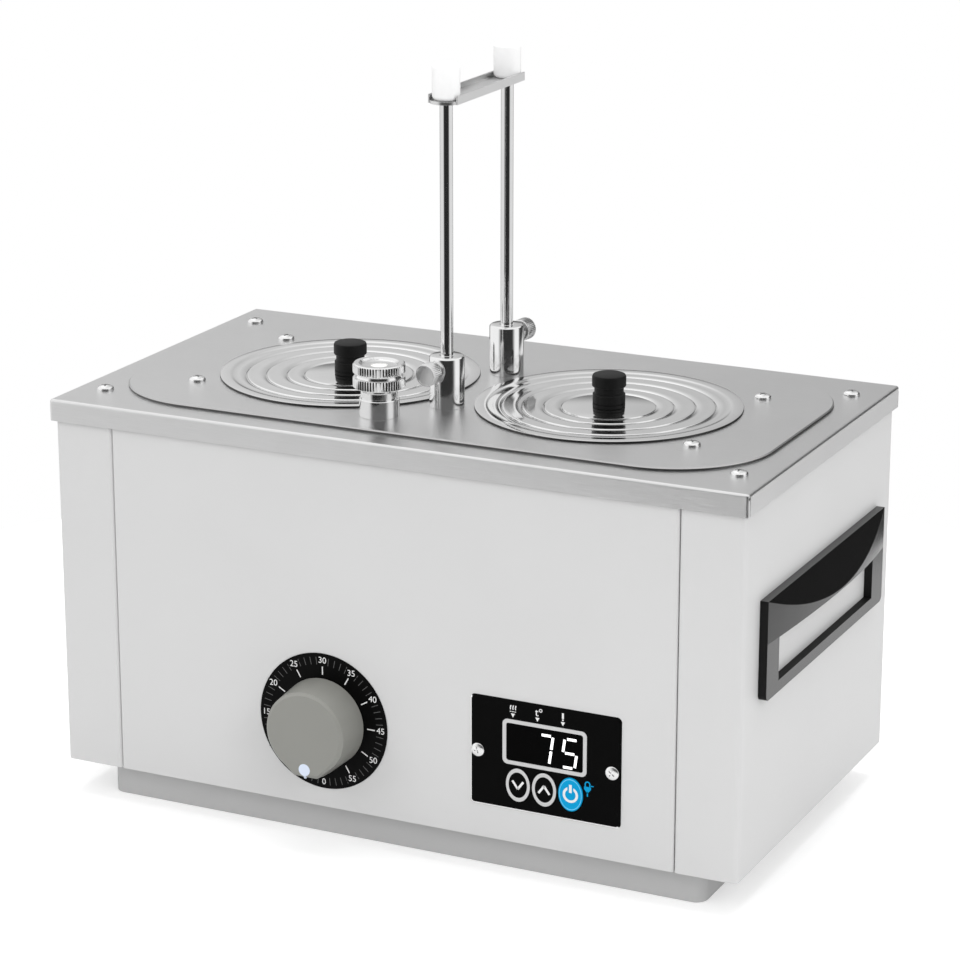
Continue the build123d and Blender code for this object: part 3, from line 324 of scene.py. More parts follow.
# Insert plate. Sheet brushed like the cover, cut with large round corners and screwed down over the
# tank. Its upright cut wall is darker than its face: partly dull cut steel, partly painted shade for
# the dark line along the plate's edge. The nuts below it hold its screws, collars and gland.
cut_edge_and_shade = brushed_steel("cut_edge_and_shade", 0.4, 0.4, (1, 1, 1), 0.01)
eased_edge = brushed_steel("eased_edge", 0.78, 0.4, (1, 1, 1), 0.01)
insert = refined("insert_plate", cover_steel, 0.05, 1)
insert.data.materials.append(cut_edge_and_shade.owner)
insert.data.materials.append(eased_edge.owner)
# Upright faces take the dark edge steel, which is dull cut steel darkened further as painted shade along
# the edge; the slopes between take the eased edge.
for face in insert.data.polygons:
    lies_flat = abs(face.normal.z)
    face.material_index = 1 if lies_flat < 0.5 else int(lies_flat < 0.97) * 2
refined("plate_nuts", zinc, 0.2)

# Screws. Pan heads with a cross recess, modelled once and copied: four in the cover's corners and
# four in the insert plate. The handles' screws are out of sight inside and only take a finish.
screw_head = 4.0
screw_rise = 2.4
screw_stem = 2.0
screw_length = 9.0
screw_recess = 1.3
screw_turn = 37


def turned(name, outline, steps, x=0.0, y=0.0):
    """A lathe-turned piece. The outline is a list of radius and height in millimetres, spun about x, y."""
    r, z = outline[0]
    bpy.ops.object.select_all(action="DESELECT")
    bpy.ops.mesh.primitive_plane_add(size=mm, location=((x + r) * mm, y * mm, z * mm))
    bpy.ops.object.transform_apply()
    piece = bpy.context.object
    piece.name = name
    edit(piece)
    bpy.ops.mesh.merge(type="CENTER")
    for (r, z), (r_next, z_next) in zip(outline, outline[1:]):
        step = ((r_next - r) * mm, 0, (z_next - z) * mm)
        bpy.ops.mesh.extrude_vertices_move(TRANSFORM_OT_translate={"value": step})
    bpy.ops.mesh.select_all(action="SELECT")
    bpy.ops.mesh.spin(steps=steps, angle=2 * pi, center=(x * mm, y * mm, 0), axis=(0, 0, 1))
    bpy.ops.mesh.select_all(action="SELECT")
    bpy.ops.mesh.remove_doubles(threshold=0.001 * mm)
    bpy.ops.mesh.normals_make_consistent(inside=False)
    bpy.ops.object.mode_set(mode="OBJECT")
    return piece


def placed(piece, x=0.0, y=0.0, z=0.0, turn=(0, 0, 0)):
    """Turns a piece about the origin, in degrees, moves it, and puts its place in its mesh."""
    only(piece)
    piece.rotation_euler = [radians(angle) for angle in turn]
    piece.location = (x * mm, y * mm, z * mm)
    bpy.ops.object.transform_apply()
    return piece


def copied(piece, x=0.0, y=0.0, z=0.0, turn=(0, 0, 0)):
    """A copy of a piece, turned and moved from where the piece is."""
    only(piece)
    bpy.ops.object.duplicate()
    return placed(bpy.context.object, x, y, z, turn)


def joined(name, *pieces):
    """Joins pieces into the first one, under a new name."""
    only(pieces[0])
    if len(pieces) > 1:
        for piece in pieces:
            piece.select_set(True)
        bpy.ops.object.join()
    pieces[0].name = name
    return pieces[0]


def discard(piece):
    """Takes a tool or a pattern that has done its work out of the scene."""
    only(piece)
    bpy.ops.object.delete()


def cut(piece, tool):
    """Takes a tool's shape out of a piece."""
    only(piece)
    bpy.ops.object.modifier_add(type="BOOLEAN")
    difference = piece.modifiers[-1]
    difference.operation = "DIFFERENCE"
    difference.solver = "EXACT"
    difference.object = tool
    bpy.ops.object.modifier_apply(modifier=difference.name)
    discard(tool)


def block(name, x, y, z, width, depth, height, turn=(0, 0, 0)):
    """A box centred at x, y, z."""
    bpy.ops.object.select_all(action="DESELECT")
    bpy.ops.mesh.primitive_cube_add(size=1, location=(x * mm, y * mm, z * mm))
    piece = bpy.context.object
    piece.name = name
    piece.scale = (width * mm, depth * mm, height * mm)
    piece.rotation_euler = [radians(angle) for angle in turn]
    bpy.ops.object.transform_apply()
    return piece


def pan_screw(head, rise, deep):
    """A screw with a domed head and a cross recess, its head on the origin."""
    side = rise * 0.3
    outline = [(0, -screw_length), (screw_stem, -screw_length), (screw_stem, 0), (head, 0), (head, side)]
    outline += [(head * cos(a), side + (rise - side) * sin(a)) for a in (0.3, 0.6, 0.9, 1.2)]
    made = turned("screw", outline + [(0, rise)], 40)
    for turn in (0, 90):
        cut(made, block("recess", 0, 0, rise, head, head * 0.18, 2 * deep, (0, 0, turn)))
    return smoothed(made, 40)


screw = pan_screw(screw_head, screw_rise, screw_recess)
bright_zinc = brushed_steel("bright_zinc", 0.95, 0.25, (1, 1, 1), 0.002)


def screws(node, spots, spin, turn=(0, 0, 0)):
    """Copies of the screw for one node, each turned differently in its hole, starting from spin."""
    heads = []
    for number, (x, y, z) in enumerate(spots):
        head = copied(screw, turn=(0, 0, spin + screw_turn * number))
        heads.append(placed(head, x, y, z, turn))
    fit(joined("finished_" + node, *heads), bright_zinc, node)


def corners(node):
    """The four screw places of a node, read from its box, at the height where the heads sit."""
    low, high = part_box(node)
    across = (low.x / mm + screw_head, high.x / mm - screw_head)
    along = (low.y / mm + screw_head, high.y / mm - screw_head)
    return [(x, y, high.z / mm - screw_rise) for x in across for y in along]


screws("cover_screws", corners("cover_screws"), 20)
screws("insert_screws", corners("insert_screws"), 50)
clothe(zinc, "handle_screws")

# Ring covers. Four nested rings for each place, spun from bright stainless sheet. The inner edge of
# each is set down as a ledge that carries the next ring, and the lid lies in the smallest.
ring_radii = (63.0, 50.0, 40.5, 30.5, 22.0)
ring_sheet = 1.0
ring_ledge = 4.0
ring_play = 0.3
ring_drop = 0.15
ring_rim = 6.0
ring_bend = 3.3
ring_bend_drop = 0.7
place_x = 68.2
place_opening = 58.0
insert_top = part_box("insert_plate")[1].z / mm
ring_count = len(ring_radii) - 1
ring_tops = [insert_top + 0.5 - ring_drop * number for number in range(ring_count + 1)]


def polished_steel(name, level, rough):
    """Bright metal with faint smears and fine turning marks."""
    finish = Finish(name)
    smear = finish.grain(14, detail=1.5)
    fine = finish.grain(0.3, (1, 1, 6))
    return finish.surface(
        Base_Color=finish.blend(smear, colour(level - 0.02), colour(level + 0.02)),
        Metallic=1.0,
        Roughness=rough - 0.02 + smear * 0.04,
        Normal=finish.relief(fine, 0.002, 0.1),
    )


mirror_steel = polished_steel("mirror_steel", 0.94, 0.09)
# A dark steel that is painted shade: the dark shadow line along the outer wall of the first ring.
rim_painted_shade = polished_steel("rim_painted_shade", 0.3, 0.4)


def ring_outline(number):
    """Outline of a ring, from its outer rim over the top to the ledge and back underneath."""
    radius, seat = ring_radii[number], ring_radii[number + 1] + ring_play
    top, ledge = ring_tops[number], ring_tops[number + 1] - ring_sheet
    inner = ring_radii[number + 1] - ring_ledge
    over = [(radius, top - ring_sheet), (radius, top - 0.5), (radius - 0.08, top - 0.25)]
    over += [(radius - 0.28, top - 0.07), (radius - 0.7, top)]
    rim = radius - 0.7
    if number == 0:
        neck = place_opening - ring_play
        lip = insert_top + ring_sheet
        rim = radius - ring_rim - 1.2
        over = [(neck, top - ring_sheet), (neck, insert_top), (radius, insert_top), (radius, lip - 0.35)]
        over += [(radius - 0.12, lip - 0.1), (radius - 0.5, lip), (rim + 2.8, lip), (rim + 2.1, lip - 0.06)]
        over += [(rim + 1.4, (lip + top) / 2), (rim + 0.7, top + 0.06), (rim, top)]
    width = rim - seat - ring_bend
    crown = [(rim - width * share, top - 0.06 * sin(pi * share)) for share in (0.25, 0.5, 0.75)]
    shares = (0, 0.2, 0.4, 0.6, 0.8, 0.95)
    bend = [(seat + ring_bend * (1 - share), top - ring_bend_drop * share ** 2) for share in shares]
    bend.append((seat, top - ring_bend_drop - 0.25))
    outer = seat + ring_sheet
    under = [(seat, ledge), (inner, ledge), (inner, ledge - ring_sheet), (outer, ledge - ring_sheet)]
    return over + crown + bend + under + [(outer, top - ring_sheet), over[0]]


lid_top = ring_tops[ring_count]
lid_low = lid_top - ring_sheet
lid_radius = ring_radii[ring_count]
lid_hole = 2.2
lid_outline = [(lid_hole, lid_low), (lid_radius, lid_low), (lid_radius, lid_top - 0.4)]
lid_outline += [(lid_radius - 0.15, lid_top - 0.12), (lid_radius - 0.6, lid_top)]
lid_outline += [(lid_hole, lid_top), (lid_hole, lid_low)]

# Lid knobs. Black moulded grips with a waist, each held by its stud and a nut under the lid. After
# their outline, the rings, the lid and the knob are made for each of the two places.
knob_radius = 8.0
knob_height = 15.7
waist_low = 6.6
waist_high = 9.9
waist_radius = 6.9
knob_low = knob_radius - 0.35
knob_outline = [(0, -5.2), (2, -5.2), (2, -4.2), (4, -4.2), (4, -1), (2, -1), (2, 0)]
knob_outline += [(knob_low - 0.4, 0), (knob_low, 0.4), (knob_low, 1.9), (knob_low - 0.3, 2.0)]
knob_outline += [(knob_low - 0.3, 2.3), (knob_low, 2.4)]
knob_outline += [(knob_low, waist_low - 0.35), (knob_low - 0.3, waist_low)]
knob_outline += [(waist_radius, waist_low + 0.2), (waist_radius, waist_high - 0.2)]
knob_outline += [(knob_radius - 0.3, waist_high), (knob_radius, waist_high + 0.35)]
knob_outline += [(knob_radius, knob_height - 1.2), (knob_radius - 0.35, knob_height - 0.35)]
knob_outline += [(knob_radius - 1.2, knob_height), (0, knob_height)]
knob_black = moulded("knob_black", colour(0.07), 0.5, 0.35, 0.04, 0.2)

for place, x in (("left", -place_x), ("right", place_x)):
    for number in range(ring_count):
        node = f"{place}_ring_{number + 1}"
        ring = turned("finished_" + node, ring_outline(number), 160, x)
        fit(smoothed(ring), mirror_steel, node)
        if number == 0:
            # The outer wall of the first ring takes the dark steel as painted shade, for the shadow line
            # along its rim.
            ring.data.materials.append(rim_painted_shade.owner)
            for face in ring.data.polygons:
                away = ((face.center.x / mm - x) ** 2 + (face.center.y / mm) ** 2) ** 0.5
                face.material_index = int(abs(face.normal.z) < 0.5 and away > ring_radii[0] - 0.3)
    lid = turned(f"finished_{place}_lid", lid_outline, 128, x)
    fit(smoothed(lid), mirror_steel, f"{place}_lid")
    grip = placed(turned(f"finished_{place}_lid_knob", knob_outline, 64), x, 0, lid_top)
    fit(smoothed(grip), knob_black, f"{place}_lid_knob")

# Collars. Turned from bright steel bar, bored for the rods and screwed through the insert plate,
# where a nut holds each from below.
collar_y = 32.5
collar_radius = 8.3
collar_height = 24.5
collar_stem = 5.5
collar_depth = 8.5
rod_radius = 3.0
collar_bore = rod_radius + 0.06
collar_outline = [(collar_bore, -collar_depth), (collar_stem, -collar_depth), (collar_stem, 0)]
collar_outline.append((collar_radius - 0.2, 0))
collar_outline += [(collar_radius, 0.2), (collar_radius, collar_height - 0.8)]
collar_outline += [(collar_radius - 0.15, collar_height - 0.55), (collar_radius - 0.6, collar_height - 0.1)]
collar_outline += [(collar_radius - 0.8, collar_height), (rod_radius + 0.5, collar_height)]
collar_outline += [(collar_bore, collar_height - 0.4), (collar_bore, -collar_depth)]
turned_steel = polished_steel("turned_steel", 0.93, 0.13)
satin_steel = polished_steel("satin_steel", 0.90, 0.32)

# Thumbscrews. One in the side of each collar clamps the rod: a knurled head, a thin neck, a flange
# and a stem screwed into the collar.
thumb_rise = 20.2
thumb_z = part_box("top_cover")[1].z / mm + thumb_rise
thumb_turn = 7.0
thumb_start = 3.36
thumb_flange = 8.6
thumb_head = 11.8
thumb_end = 18.8
thumb_ribs = 40
thumb_knurl = 0.28


def knurled(piece, low, high, depth, ribs):
    """Presses grooves into a turned piece: every second line of its side, between two heights, goes in."""
    edit(piece, "DESELECT")
    bpy.ops.object.mode_set(mode="OBJECT")
    reach = 0.0
    for vertex in piece.data.vertices:
        x, y, z = (part / mm for part in vertex.co)
        away = (x ** 2 + y ** 2) ** 0.5
        line = round(atan2(y, x) % (2 * pi) / pi * ribs)
        if low < z < high and line % 2:
            vertex.select = True
            reach = max(reach, away)
    bpy.ops.object.mode_set(mode="EDIT")
    share = 1 - depth / reach
    bpy.ops.transform.resize(value=(share, share, 1), center_override=(0, 0, 0))
    bpy.ops.object.mode_set(mode="OBJECT")


thumb_outline = [(0, thumb_start), (1.9, thumb_start), (1.9, thumb_flange), (4.3, thumb_flange)]
thumb_outline += [(4.5, thumb_flange + 0.2), (4.5, thumb_flange + 1.4), (4.3, thumb_flange + 1.6)]
thumb_outline += [(3.0, thumb_flange + 1.6), (3.0, thumb_head), (4.9, thumb_head)]
thumb_outline += [(5.35, thumb_head + 0.45), (5.35, thumb_end - 0.6), (4.9, thumb_end - 0.08)]
thumb_outline += [(4.6, thumb_end), (4.3, thumb_end), (4.2, thumb_end - 0.12), (0, thumb_end - 0.12)]
thumb = turned("thumb", thumb_outline, 2 * thumb_ribs)
knurled(thumb, thumb_head + 0.2, thumb_end - 0.3, thumb_knurl, thumb_ribs)
smoothed(thumb)

for end, side in (("front", -1), ("rear", 1)):
    collar = placed(turned(f"finished_{end}_collar", collar_outline, 72), 0, side * collar_y, insert_top)
    fit(smoothed(collar), turned_steel, f"{end}_collar")
    screw_copy = copied(thumb, 0, side * collar_y, thumb_z, (0, 90, side * 90 - thumb_turn))
    screw_copy.name = f"finished_{end}_thumbscrew"
    fit(screw_copy, satin_steel, f"{end}_thumbscrew")
discard(thumb)

# Lifting frame. Two ground steel rods with the perforated shelf and its nuts below, and the channel
# bar above, held by white heat-proof caps screwed on the ends of the rods.
stud_radius = 2.4
stud_length = 11
bar_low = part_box("cross_bar")[0].z / mm
stud_top = bar_low + stud_length
cap_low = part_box("front_cap")[0].z / mm
rod_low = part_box("front_rod")[0].z / mm
ground_steel = polished_steel("ground_steel", 0.93, 0.07)
cap_white = moulded("cap_white", colour(0.99), 0.45, 0.6, 0.01)
rod_outline = [(0, rod_low), (2.6, rod_low), (rod_radius, rod_low + 0.4), (rod_radius, bar_low)]
rod_outline += [(stud_radius, bar_low), (stud_radius, stud_top - 0.2), (2.2, stud_top), (0, stud_top)]
cap_outline = [(2.45, 0), (5.0, 0), (5.6, 0.3), (6.3, 1.2), (6.5, 2.0), (6.5, 14.6), (6.35, 15.4)]
cap_outline += [(5.9, 16.1), (5.2, 16.5), (0, 16.5), (0, 11.0), (2.45, 11.0), (2.45, 0)]
for end, side in (("front", -1), ("rear", 1)):
    rod = turned(f"finished_{end}_rod", rod_outline, 48, 0, side * collar_y)
    fit(smoothed(rod), ground_steel, f"{end}_rod")
    cap = placed(turned(f"finished_{end}_cap", cap_outline, 48), 0, side * collar_y, cap_low)
    fit(smoothed(cap), cap_white, f"{end}_cap")
refined("cross_bar", satin_steel, 0.3)
refined("lifting_shelf", drawn_steel, 0.2)
refined("shelf_nuts", zinc, 0.2)

# Thermometer gland. Nickel-plated brass: a turned body screwed through the insert plate, and a wide
# nut with two knurled bands, dished on top. The silicone seal has a skin that the thermometer pierces.
gland_x = -21.3
gland_y = -60.0
gland_ribs = 56
nickel = polished_steel("nickel", 0.94, 0.11)
gland_outline = [(4.1, -10.5), (6, -10.5), (6, 0), (9.2, 0), (9.4, 0.2), (9.4, 8.2), (9.15, 8.5)]
gland_outline += [(8.2, 8.5), (8.2, 9.1), (8.6, 9.3), (8.6, 11.8), (8.3, 12.1), (6, 12.1), (6, 20.1)]
gland_outline += [(4.1, 20.1), (4.1, -10.5)]
nut_outline = [(6.08, 13.6), (11.6, 13.6), (12.2, 14.1), (12.2, 18.1), (11.9, 18.5), (10.9, 18.7)]
nut_outline += [(10.6, 19.6), (10.9, 20.5), (11.9, 20.7), (12.2, 21.0), (12.2, 24.2), (12.0, 24.8)]
nut_outline += [(11.4, 25.25), (10.6, 25.3), (9.4, 25.2), (8.8, 24.7), (8.3, 24.1), (7.4, 23.85)]
nut_outline += [(4.1, 23.8), (4.1, 22.2), (6.08, 22.2), (6.08, 13.6)]
seal_outline = [(0, 20.3), (5.6, 20.3), (5.6, 22.0), (3.95, 22.0), (3.95, 23.3), (3.7, 23.55)]
seal_outline += [(3.3, 23.6), (0, 23.4)]
gland_knurl = 0.45
gland = placed(turned("finished_gland_body", gland_outline, 72), gland_x, gland_y, insert_top)
fit(smoothed(gland), nickel, "gland_body")
gland_head = turned("finished_gland_nut", nut_outline, 2 * gland_ribs)
knurled(gland_head, 13.9, 18.3, gland_knurl, gland_ribs)
knurled(gland_head, 20.9, 24.4, gland_knurl, gland_ribs)
placed(gland_head, gland_x, gland_y, insert_top)
fit(smoothed(gland_head, 30), nickel, "gland_nut")
silicone = moulded("silicone", colour(0.93, 0.93, 0.92), 0.35, 0.5, 0.01)
seal = placed(turned("finished_gland_seal", seal_outline, 48), gland_x, gland_y, insert_top)
fit(smoothed(seal), silicone, "gland_seal")

# Timer dial. A black disc on the front panel with a white scale of sixty minutes: a long stroke
# and a number every five, and fainter strokes between.
timer_x = -32.8
dial_z = 60.0
dial_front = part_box("timer_dial")[0].y / mm
dial_steps = 12
minute_angle = 6
figure_radius = 30.2
figure_height = 3.1
type_size = 1.38
type_depth = 0.015
stroke_sheet = 0.03
dial_black = moulded("dial_black", colour(0.03), 0.4, 0.3, 0.02, 0.06)
print_white = moulded("print_white", colour(0.93), 0.5)
print_grey = moulded("print_grey", colour(0.34), 0.5)
refined("timer_dial", dial_black, 0.1)


def print_on(pieces, finish, name, node):
    """Joins printed marks into one thin layer on a node."""
    fit(joined(name, *pieces), finish, on=node)


def lettering(text, x, y, z, height):
    """A line of figures facing the front, its middle at x, z."""
    bpy.ops.object.select_all(action="DESELECT")
    bpy.ops.object.text_add()
    piece = bpy.context.object
    piece.data.body = text
    piece.data.align_x = "CENTER"
    piece.data.align_y = "CENTER"
    piece.data.size = height * mm * type_size
    piece.data.extrude = type_depth * mm
    bpy.ops.object.convert(target="MESH")
    return placed(bpy.context.object, x, y, z, (90, 0, 0))


def on_dial(minutes, radius):
    """The place on the dial at some minutes, which run clockwise from the bottom."""
    angle = radians(minutes * minute_angle)
    return timer_x - radius * sin(angle), dial_z - radius * cos(angle)


def dial_strokes(name, finish, inner, outer, width, *minutes):
    """Strokes at some minutes, repeated every five minutes round the dial."""
    strokes = []
    length = outer - inner
    for minute in minutes:
        x, z = on_dial(minute, (inner + outer) / 2)
        turn = (0, minute * minute_angle, 0)
        strokes.append(block(name, x, dial_front - 0.01, z, width, stroke_sheet, length, turn))
    layer = joined(name, *strokes)
    edit(layer)
    around = (timer_x * mm, 0, dial_z * mm)
    bpy.ops.mesh.spin(steps=dial_steps, dupli=True, angle=2 * pi, center=around, axis=(0, 1, 0))
    bpy.ops.mesh.select_all(action="SELECT")
    bpy.ops.mesh.remove_doubles(threshold=0.001 * mm)
    bpy.ops.object.mode_set(mode="OBJECT")
    fit(layer, finish, on="timer_dial")


dial_strokes("dial_five_minutes", print_white, 23.2, 27.2, 0.55, 0)
dial_strokes("dial_minutes", print_grey, 28.0, 31.7, 0.3, 1, 2, 3, 4)
figures = []
for minutes in range(0, 60, 5):
    x, z = on_dial(minutes, figure_radius)
    patch_width = 5.6 if minutes > 5 else 3.4
    patch = block("patch", x, dial_front - 0.015, z, patch_width, 0.04, 4.0)
    fit(patch, dial_black, on="timer_dial")
    patch.name = f"dial_patch_{minutes}"
    figures.append(lettering(str(minutes), x, dial_front - 0.045, z, figure_height))
print_on(figures, print_white, "dial_figures", "timer_dial")

# Timer knob. Grey moulded grip drawn out to a nose, tapered to the front, on a steel shaft. A pale
# blue dot with a small tail marks the nose.
knob_grey = moulded("knob_grey", colour(0.56, 0.56, 0.54), 0.38, 0.4, 0.02, 0.4)
dot_blue = moulded("dot_blue", colour(0.86, 0.90, 0.97), 0.35)
refined("timer_knob", knob_grey, 0.7, 4)
refined("timer_shaft", turned_steel, 0.2)
knob_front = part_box("timer_knob")[0].y / mm
dot_z = dial_z - 17.5
tail_z = dial_z - 20.9
nose_slope = 32
dot = turned("pointer_dot", [(0, 0), (3.0, 0), (2.9, 0.08), (0, 0.1)], 48)
placed(dot, timer_x, knob_front + 0.05, dot_z, (90, 0, 0))
tail = block("pointer_tail", timer_x, knob_front + 0.92, tail_z, 1.0, 1.2, 2.0, (nose_slope, 0, 0))
fit(joined("pointer_dot", dot, tail), dot_blue, on="timer_knob")

# Controller. A black front plate held by two screws, with a lens in a silver frame. The display
# behind it, the three oval keys below and the marks above have their own sections.
panel_x = 81.0
panel_z = 60.0
panel_width = 75.0
panel_height = 53.3
panel_corner = 2.3
panel_bevel = 0.9
panel_sheet = 1.0
panel_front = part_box("timer_dial")[1].y / mm - panel_sheet
lens_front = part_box("display_window")[0].y / mm
lens_z = panel_z + 6.6
key_z = panel_z - 13.9
key_pitch = 13.1
key_hole_width = 12.7
key_hole_height = 16.8
window_width = 39.2
window_height = 19.2
frame_overlap = 2.6
panel_screw_x = 33.4
panel_screw_hole = 4.4
panel_screw_head = 3.3
panel_screw_rise = 1.0
panel_screw_recess = 0.6
tool_length = 6.0
panel_black = moulded("panel_black", colour(0.02), 0.3, 0.4, 0.01, 0.04)
lens_black = moulded("lens_black", colour(0.008), 0.1, 2.0, 0.002, 0.03)
print_silver = moulded("print_silver", colour(0.80), 0.4)
# A white for a painted highlight on the plate's bevel, at the bottom and the left.
painted_highlight_edge = moulded("painted_highlight_edge", colour(1.0), 0.4)


def slab(name, x, y, z, width, depth, height, corner):
    """A block whose four corners are round as seen from the front."""
    piece = block(name, x, y, z, width, depth, height)

    def runs_back(edge):
        start, end = (piece.data.vertices[number].co.y for number in edge.vertices)
        return abs(start - end) > depth * mm / 2

    pick(piece, "EDGE", runs_back)
    bpy.ops.mesh.bevel(offset=corner * mm, segments=8, affect="EDGES")
    bpy.ops.object.mode_set(mode="OBJECT")
    return piece


def pierced(piece, x, z, width, height):
    """Makes an oval hole through a piece, from the front."""
    bpy.ops.object.select_all(action="DESELECT")
    bpy.ops.mesh.primitive_cylinder_add(
        vertices=64,
        radius=0.5,
        depth=tool_length * mm,
        location=(x * mm, panel_front * mm, z * mm),
        rotation=(pi / 2, 0, 0),
    )
    hole = bpy.context.object
    hole.scale = (width * mm, height * mm, 1)
    bpy.ops.object.transform_apply()
    cut(piece, hole)


panel_size = (panel_width, panel_sheet, panel_height)
panel_middle = panel_front + panel_sheet / 2
plate = slab("finished_controller_bezel", panel_x, panel_middle, panel_z, *panel_size, panel_corner)
pick(plate, "FACE", lambda face: face.normal.y < -0.9)
bpy.ops.mesh.region_to_loop()
bpy.ops.mesh.bevel(offset=panel_bevel * mm, segments=1, affect="EDGES")
bpy.ops.object.mode_set(mode="OBJECT")
cut(plate, block("window", panel_x, panel_front, lens_z, window_width, tool_length, window_height))
for step in (-1, 0, 1):
    pierced(plate, panel_x + key_pitch * step, key_z, key_hole_width, key_hole_height)
for side in (-1, 1):
    pierced(plate, panel_x + panel_screw_x * side, panel_z, panel_screw_hole, panel_screw_hole)
fit(smoothed(plate, 20), panel_black, "controller_bezel")
# The bevel's faces towards the bottom and the left are painted white as a painted highlight, as if light
# caught that side of the plate's edge; the top and right stay black.
plate.data.materials.append(painted_highlight_edge.owner)
for face in plate.data.polygons:
    face.material_index = int(-0.95 < face.normal.y < -0.2 and face.normal.x + face.normal.z < 0)
refined("display_window", lens_black, 0.1)
frame_size = (window_width + frame_overlap, 0.5, window_height + frame_overlap)
silver_frame = slab("display_frame", panel_x, panel_front - 0.05, lens_z, *frame_size, 2.5)
opening_size = (window_width - 1.0, 4.0, window_height - 1.0)
cut(silver_frame, slab("opening", panel_x, panel_front, lens_z, *opening_size, 1.2))
fit(rounded(silver_frame, 0.08), print_silver, on="controller_bezel")
discard(screw)
screw = pan_screw(panel_screw_head, panel_screw_rise, panel_screw_recess)
spots = [(panel_x + panel_screw_x * side, panel_front, panel_z) for side in (-1, 1)]
screws("controller_screws", spots, 15, (90, 0, 0))
discard(screw)

# Display. Two lit seven-segment figures behind the lens, leaning a little to the right. The layout
# says of each segment how far it lies across and up, and whether it is upright.
lit = Finish("lit_segments")
glow = lit.grain(3)
lit.surface(
    Base_Color=colour(0.95),
    Emission_Color=lit.blend(glow, colour(0.97), colour(1.0)),
    Emission_Strength=0.9,
)
segment_across = 3.4
segment_up = 6.85
segment_wide = 1.25
segment_sheet = 0.05
bar_size = (4.6, segment_sheet, segment_wide)
upright_size = (segment_wide, segment_sheet, 6.0)
lean = 8.0
layout = {
    "a": (0, 2, False),
    "b": (1, 1, True),
    "c": (1, -1, True),
    "d": (0, -2, False),
    "e": (-1, -1, True),
    "f": (-1, 1, True),
    "g": (0, 0, False),
}
segments = []
for x, shown in ((panel_x - 0.2, "abc"), (panel_x + 12.4, "afgcd")):
    for key in shown:
        across, up, upright = layout[key]
        rise = up * segment_up / 2
        segment_x = x + across * segment_across + rise * sin(radians(lean))
        segment_place = (segment_x, lens_front - 0.02, lens_z - 1.0 + rise)
        size = upright_size if upright else bar_size
        segments.append(block("segment", *segment_place, *size, (0, lean if upright else 0, 0)))
print_on(segments, lit, "display_figures", "display_window")

# Keys. Three ovals that press in: two black ones, each in a silver ring with a white chevron, and a
# blue one with a thin pale ring and the power sign.
key_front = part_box("up_button")[0].y / mm
key_width = 12.1
key_height = 16.2
chevron_slope = 36
arm_offset = 1.35
arm_size = (1.1, 0.05, 4.7)
key_blue = moulded("key_blue", colour(0.0, 0.62, 0.84), 0.4, 0.4, 0.01, 0.1)


def oval(name, outline, x, z):
    """A turned disc drawn out to the keys' oval, facing the front. Heights grow towards the front."""
    piece = turned(name, outline, 64)
    edit(piece)
    bpy.ops.transform.resize(value=(1, key_height / key_width, 1), center_override=(0, 0, 0))
    bpy.ops.object.mode_set(mode="OBJECT")
    return smoothed(placed(piece, x, key_front, z, (90, 0, 0)))


def washer(name, inner, outer, x, y, z):
    """A thin flat ring that faces the front."""
    outline = [(inner, -0.05), (outer, -0.05), (outer, 0.03), (inner, 0.03), (inner, -0.05)]
    return placed(turned(name, outline, 48), x, y, z, (90, 0, 0))


cap_shape = [(0, -3.4), (6.05, -3.4), (6.05, -0.15), (5.9, 0), (0, 0)]
ring_shape = [(4.6, -0.05), (6.0, -0.05), (6.0, 0.02), (5.8, 0.1), (4.8, 0.1), (4.6, 0.02), (4.6, -0.05)]
for key, x, way in (("down", panel_x - key_pitch, -1), ("up", panel_x, 1)):
    fit(oval(f"finished_{key}_button", cap_shape, x, key_z), panel_black, f"{key}_button")
    fit(oval(f"{key}_key_ring", ring_shape, x, key_z), print_silver, on=f"{key}_button")
    arms = []
    for side in (-1, 1):
        turn = (0, -side * way * chevron_slope, 0)
        arms.append(block("arm", x + side * arm_offset, key_front - 0.03, key_z, *arm_size, turn))
    print_on(arms, print_white, f"{key}_chevron", f"{key}_button")
x = panel_x + key_pitch
fit(oval("finished_power_button", cap_shape, x, key_z), key_blue, "power_button")
thin_ring = [(5.3, -0.05), (5.55, -0.05), (5.55, 0.03), (5.3, 0.03), (5.3, -0.05)]
pale_blue = moulded("pale_blue", colour(0.45, 0.82, 0.97), 0.4)
fit(oval("power_key_ring", thin_ring, x, key_z), pale_blue, on="power_button")
power_arc = washer("arc", 2.6, 3.8, x, key_front, key_z - 0.1)
cut(power_arc, block("gap", x, key_front, key_z + 3, 3.0, 2, 4.5))
power_bar = block("power_bar", x, key_front - 0.02, key_z + 2.85, 1.35, 0.06, 3.9)
print_on([power_arc, power_bar], print_white, "power_sign", "power_button")

# Signal marks. Heat waves over a bar, a degree sign and an alarm mark, each with an arrow that
# points down at the display, and a small blue plug beside the power key.
mark_front = panel_front - 0.02
mark_sheet = 0.05
heat_x = 65.2
degree_x = 77.4
alarm_x = 90.0
plug_x = 102.4
arrow_z = 79.75


def arrow(name, x, z, width, height):
    """A flat triangle that faces the front, its point down and its middle at x, z."""
    bpy.ops.object.select_all(action="DESELECT")
    facing = (pi / 2, 0, 0)
    bpy.ops.mesh.primitive_cylinder_add(vertices=3, radius=1, depth=mark_sheet * mm, rotation=facing)
    piece = bpy.context.object
    piece.name = name
    piece.scale = (width * mm / 1.732, -height * mm / 1.5, 1)
    bpy.ops.object.transform_apply()
    edit(piece)
    bpy.ops.mesh.normals_make_consistent(inside=False)
    bpy.ops.object.mode_set(mode="OBJECT")
    return placed(piece, x, mark_front, z)


def mark(name, x, z, width, height, slant=0):
    """A flat printed bar that faces the front, leaning to the right by some degrees."""
    return block(name, x, mark_front, z, width, mark_sheet, height, (0, slant, 0))


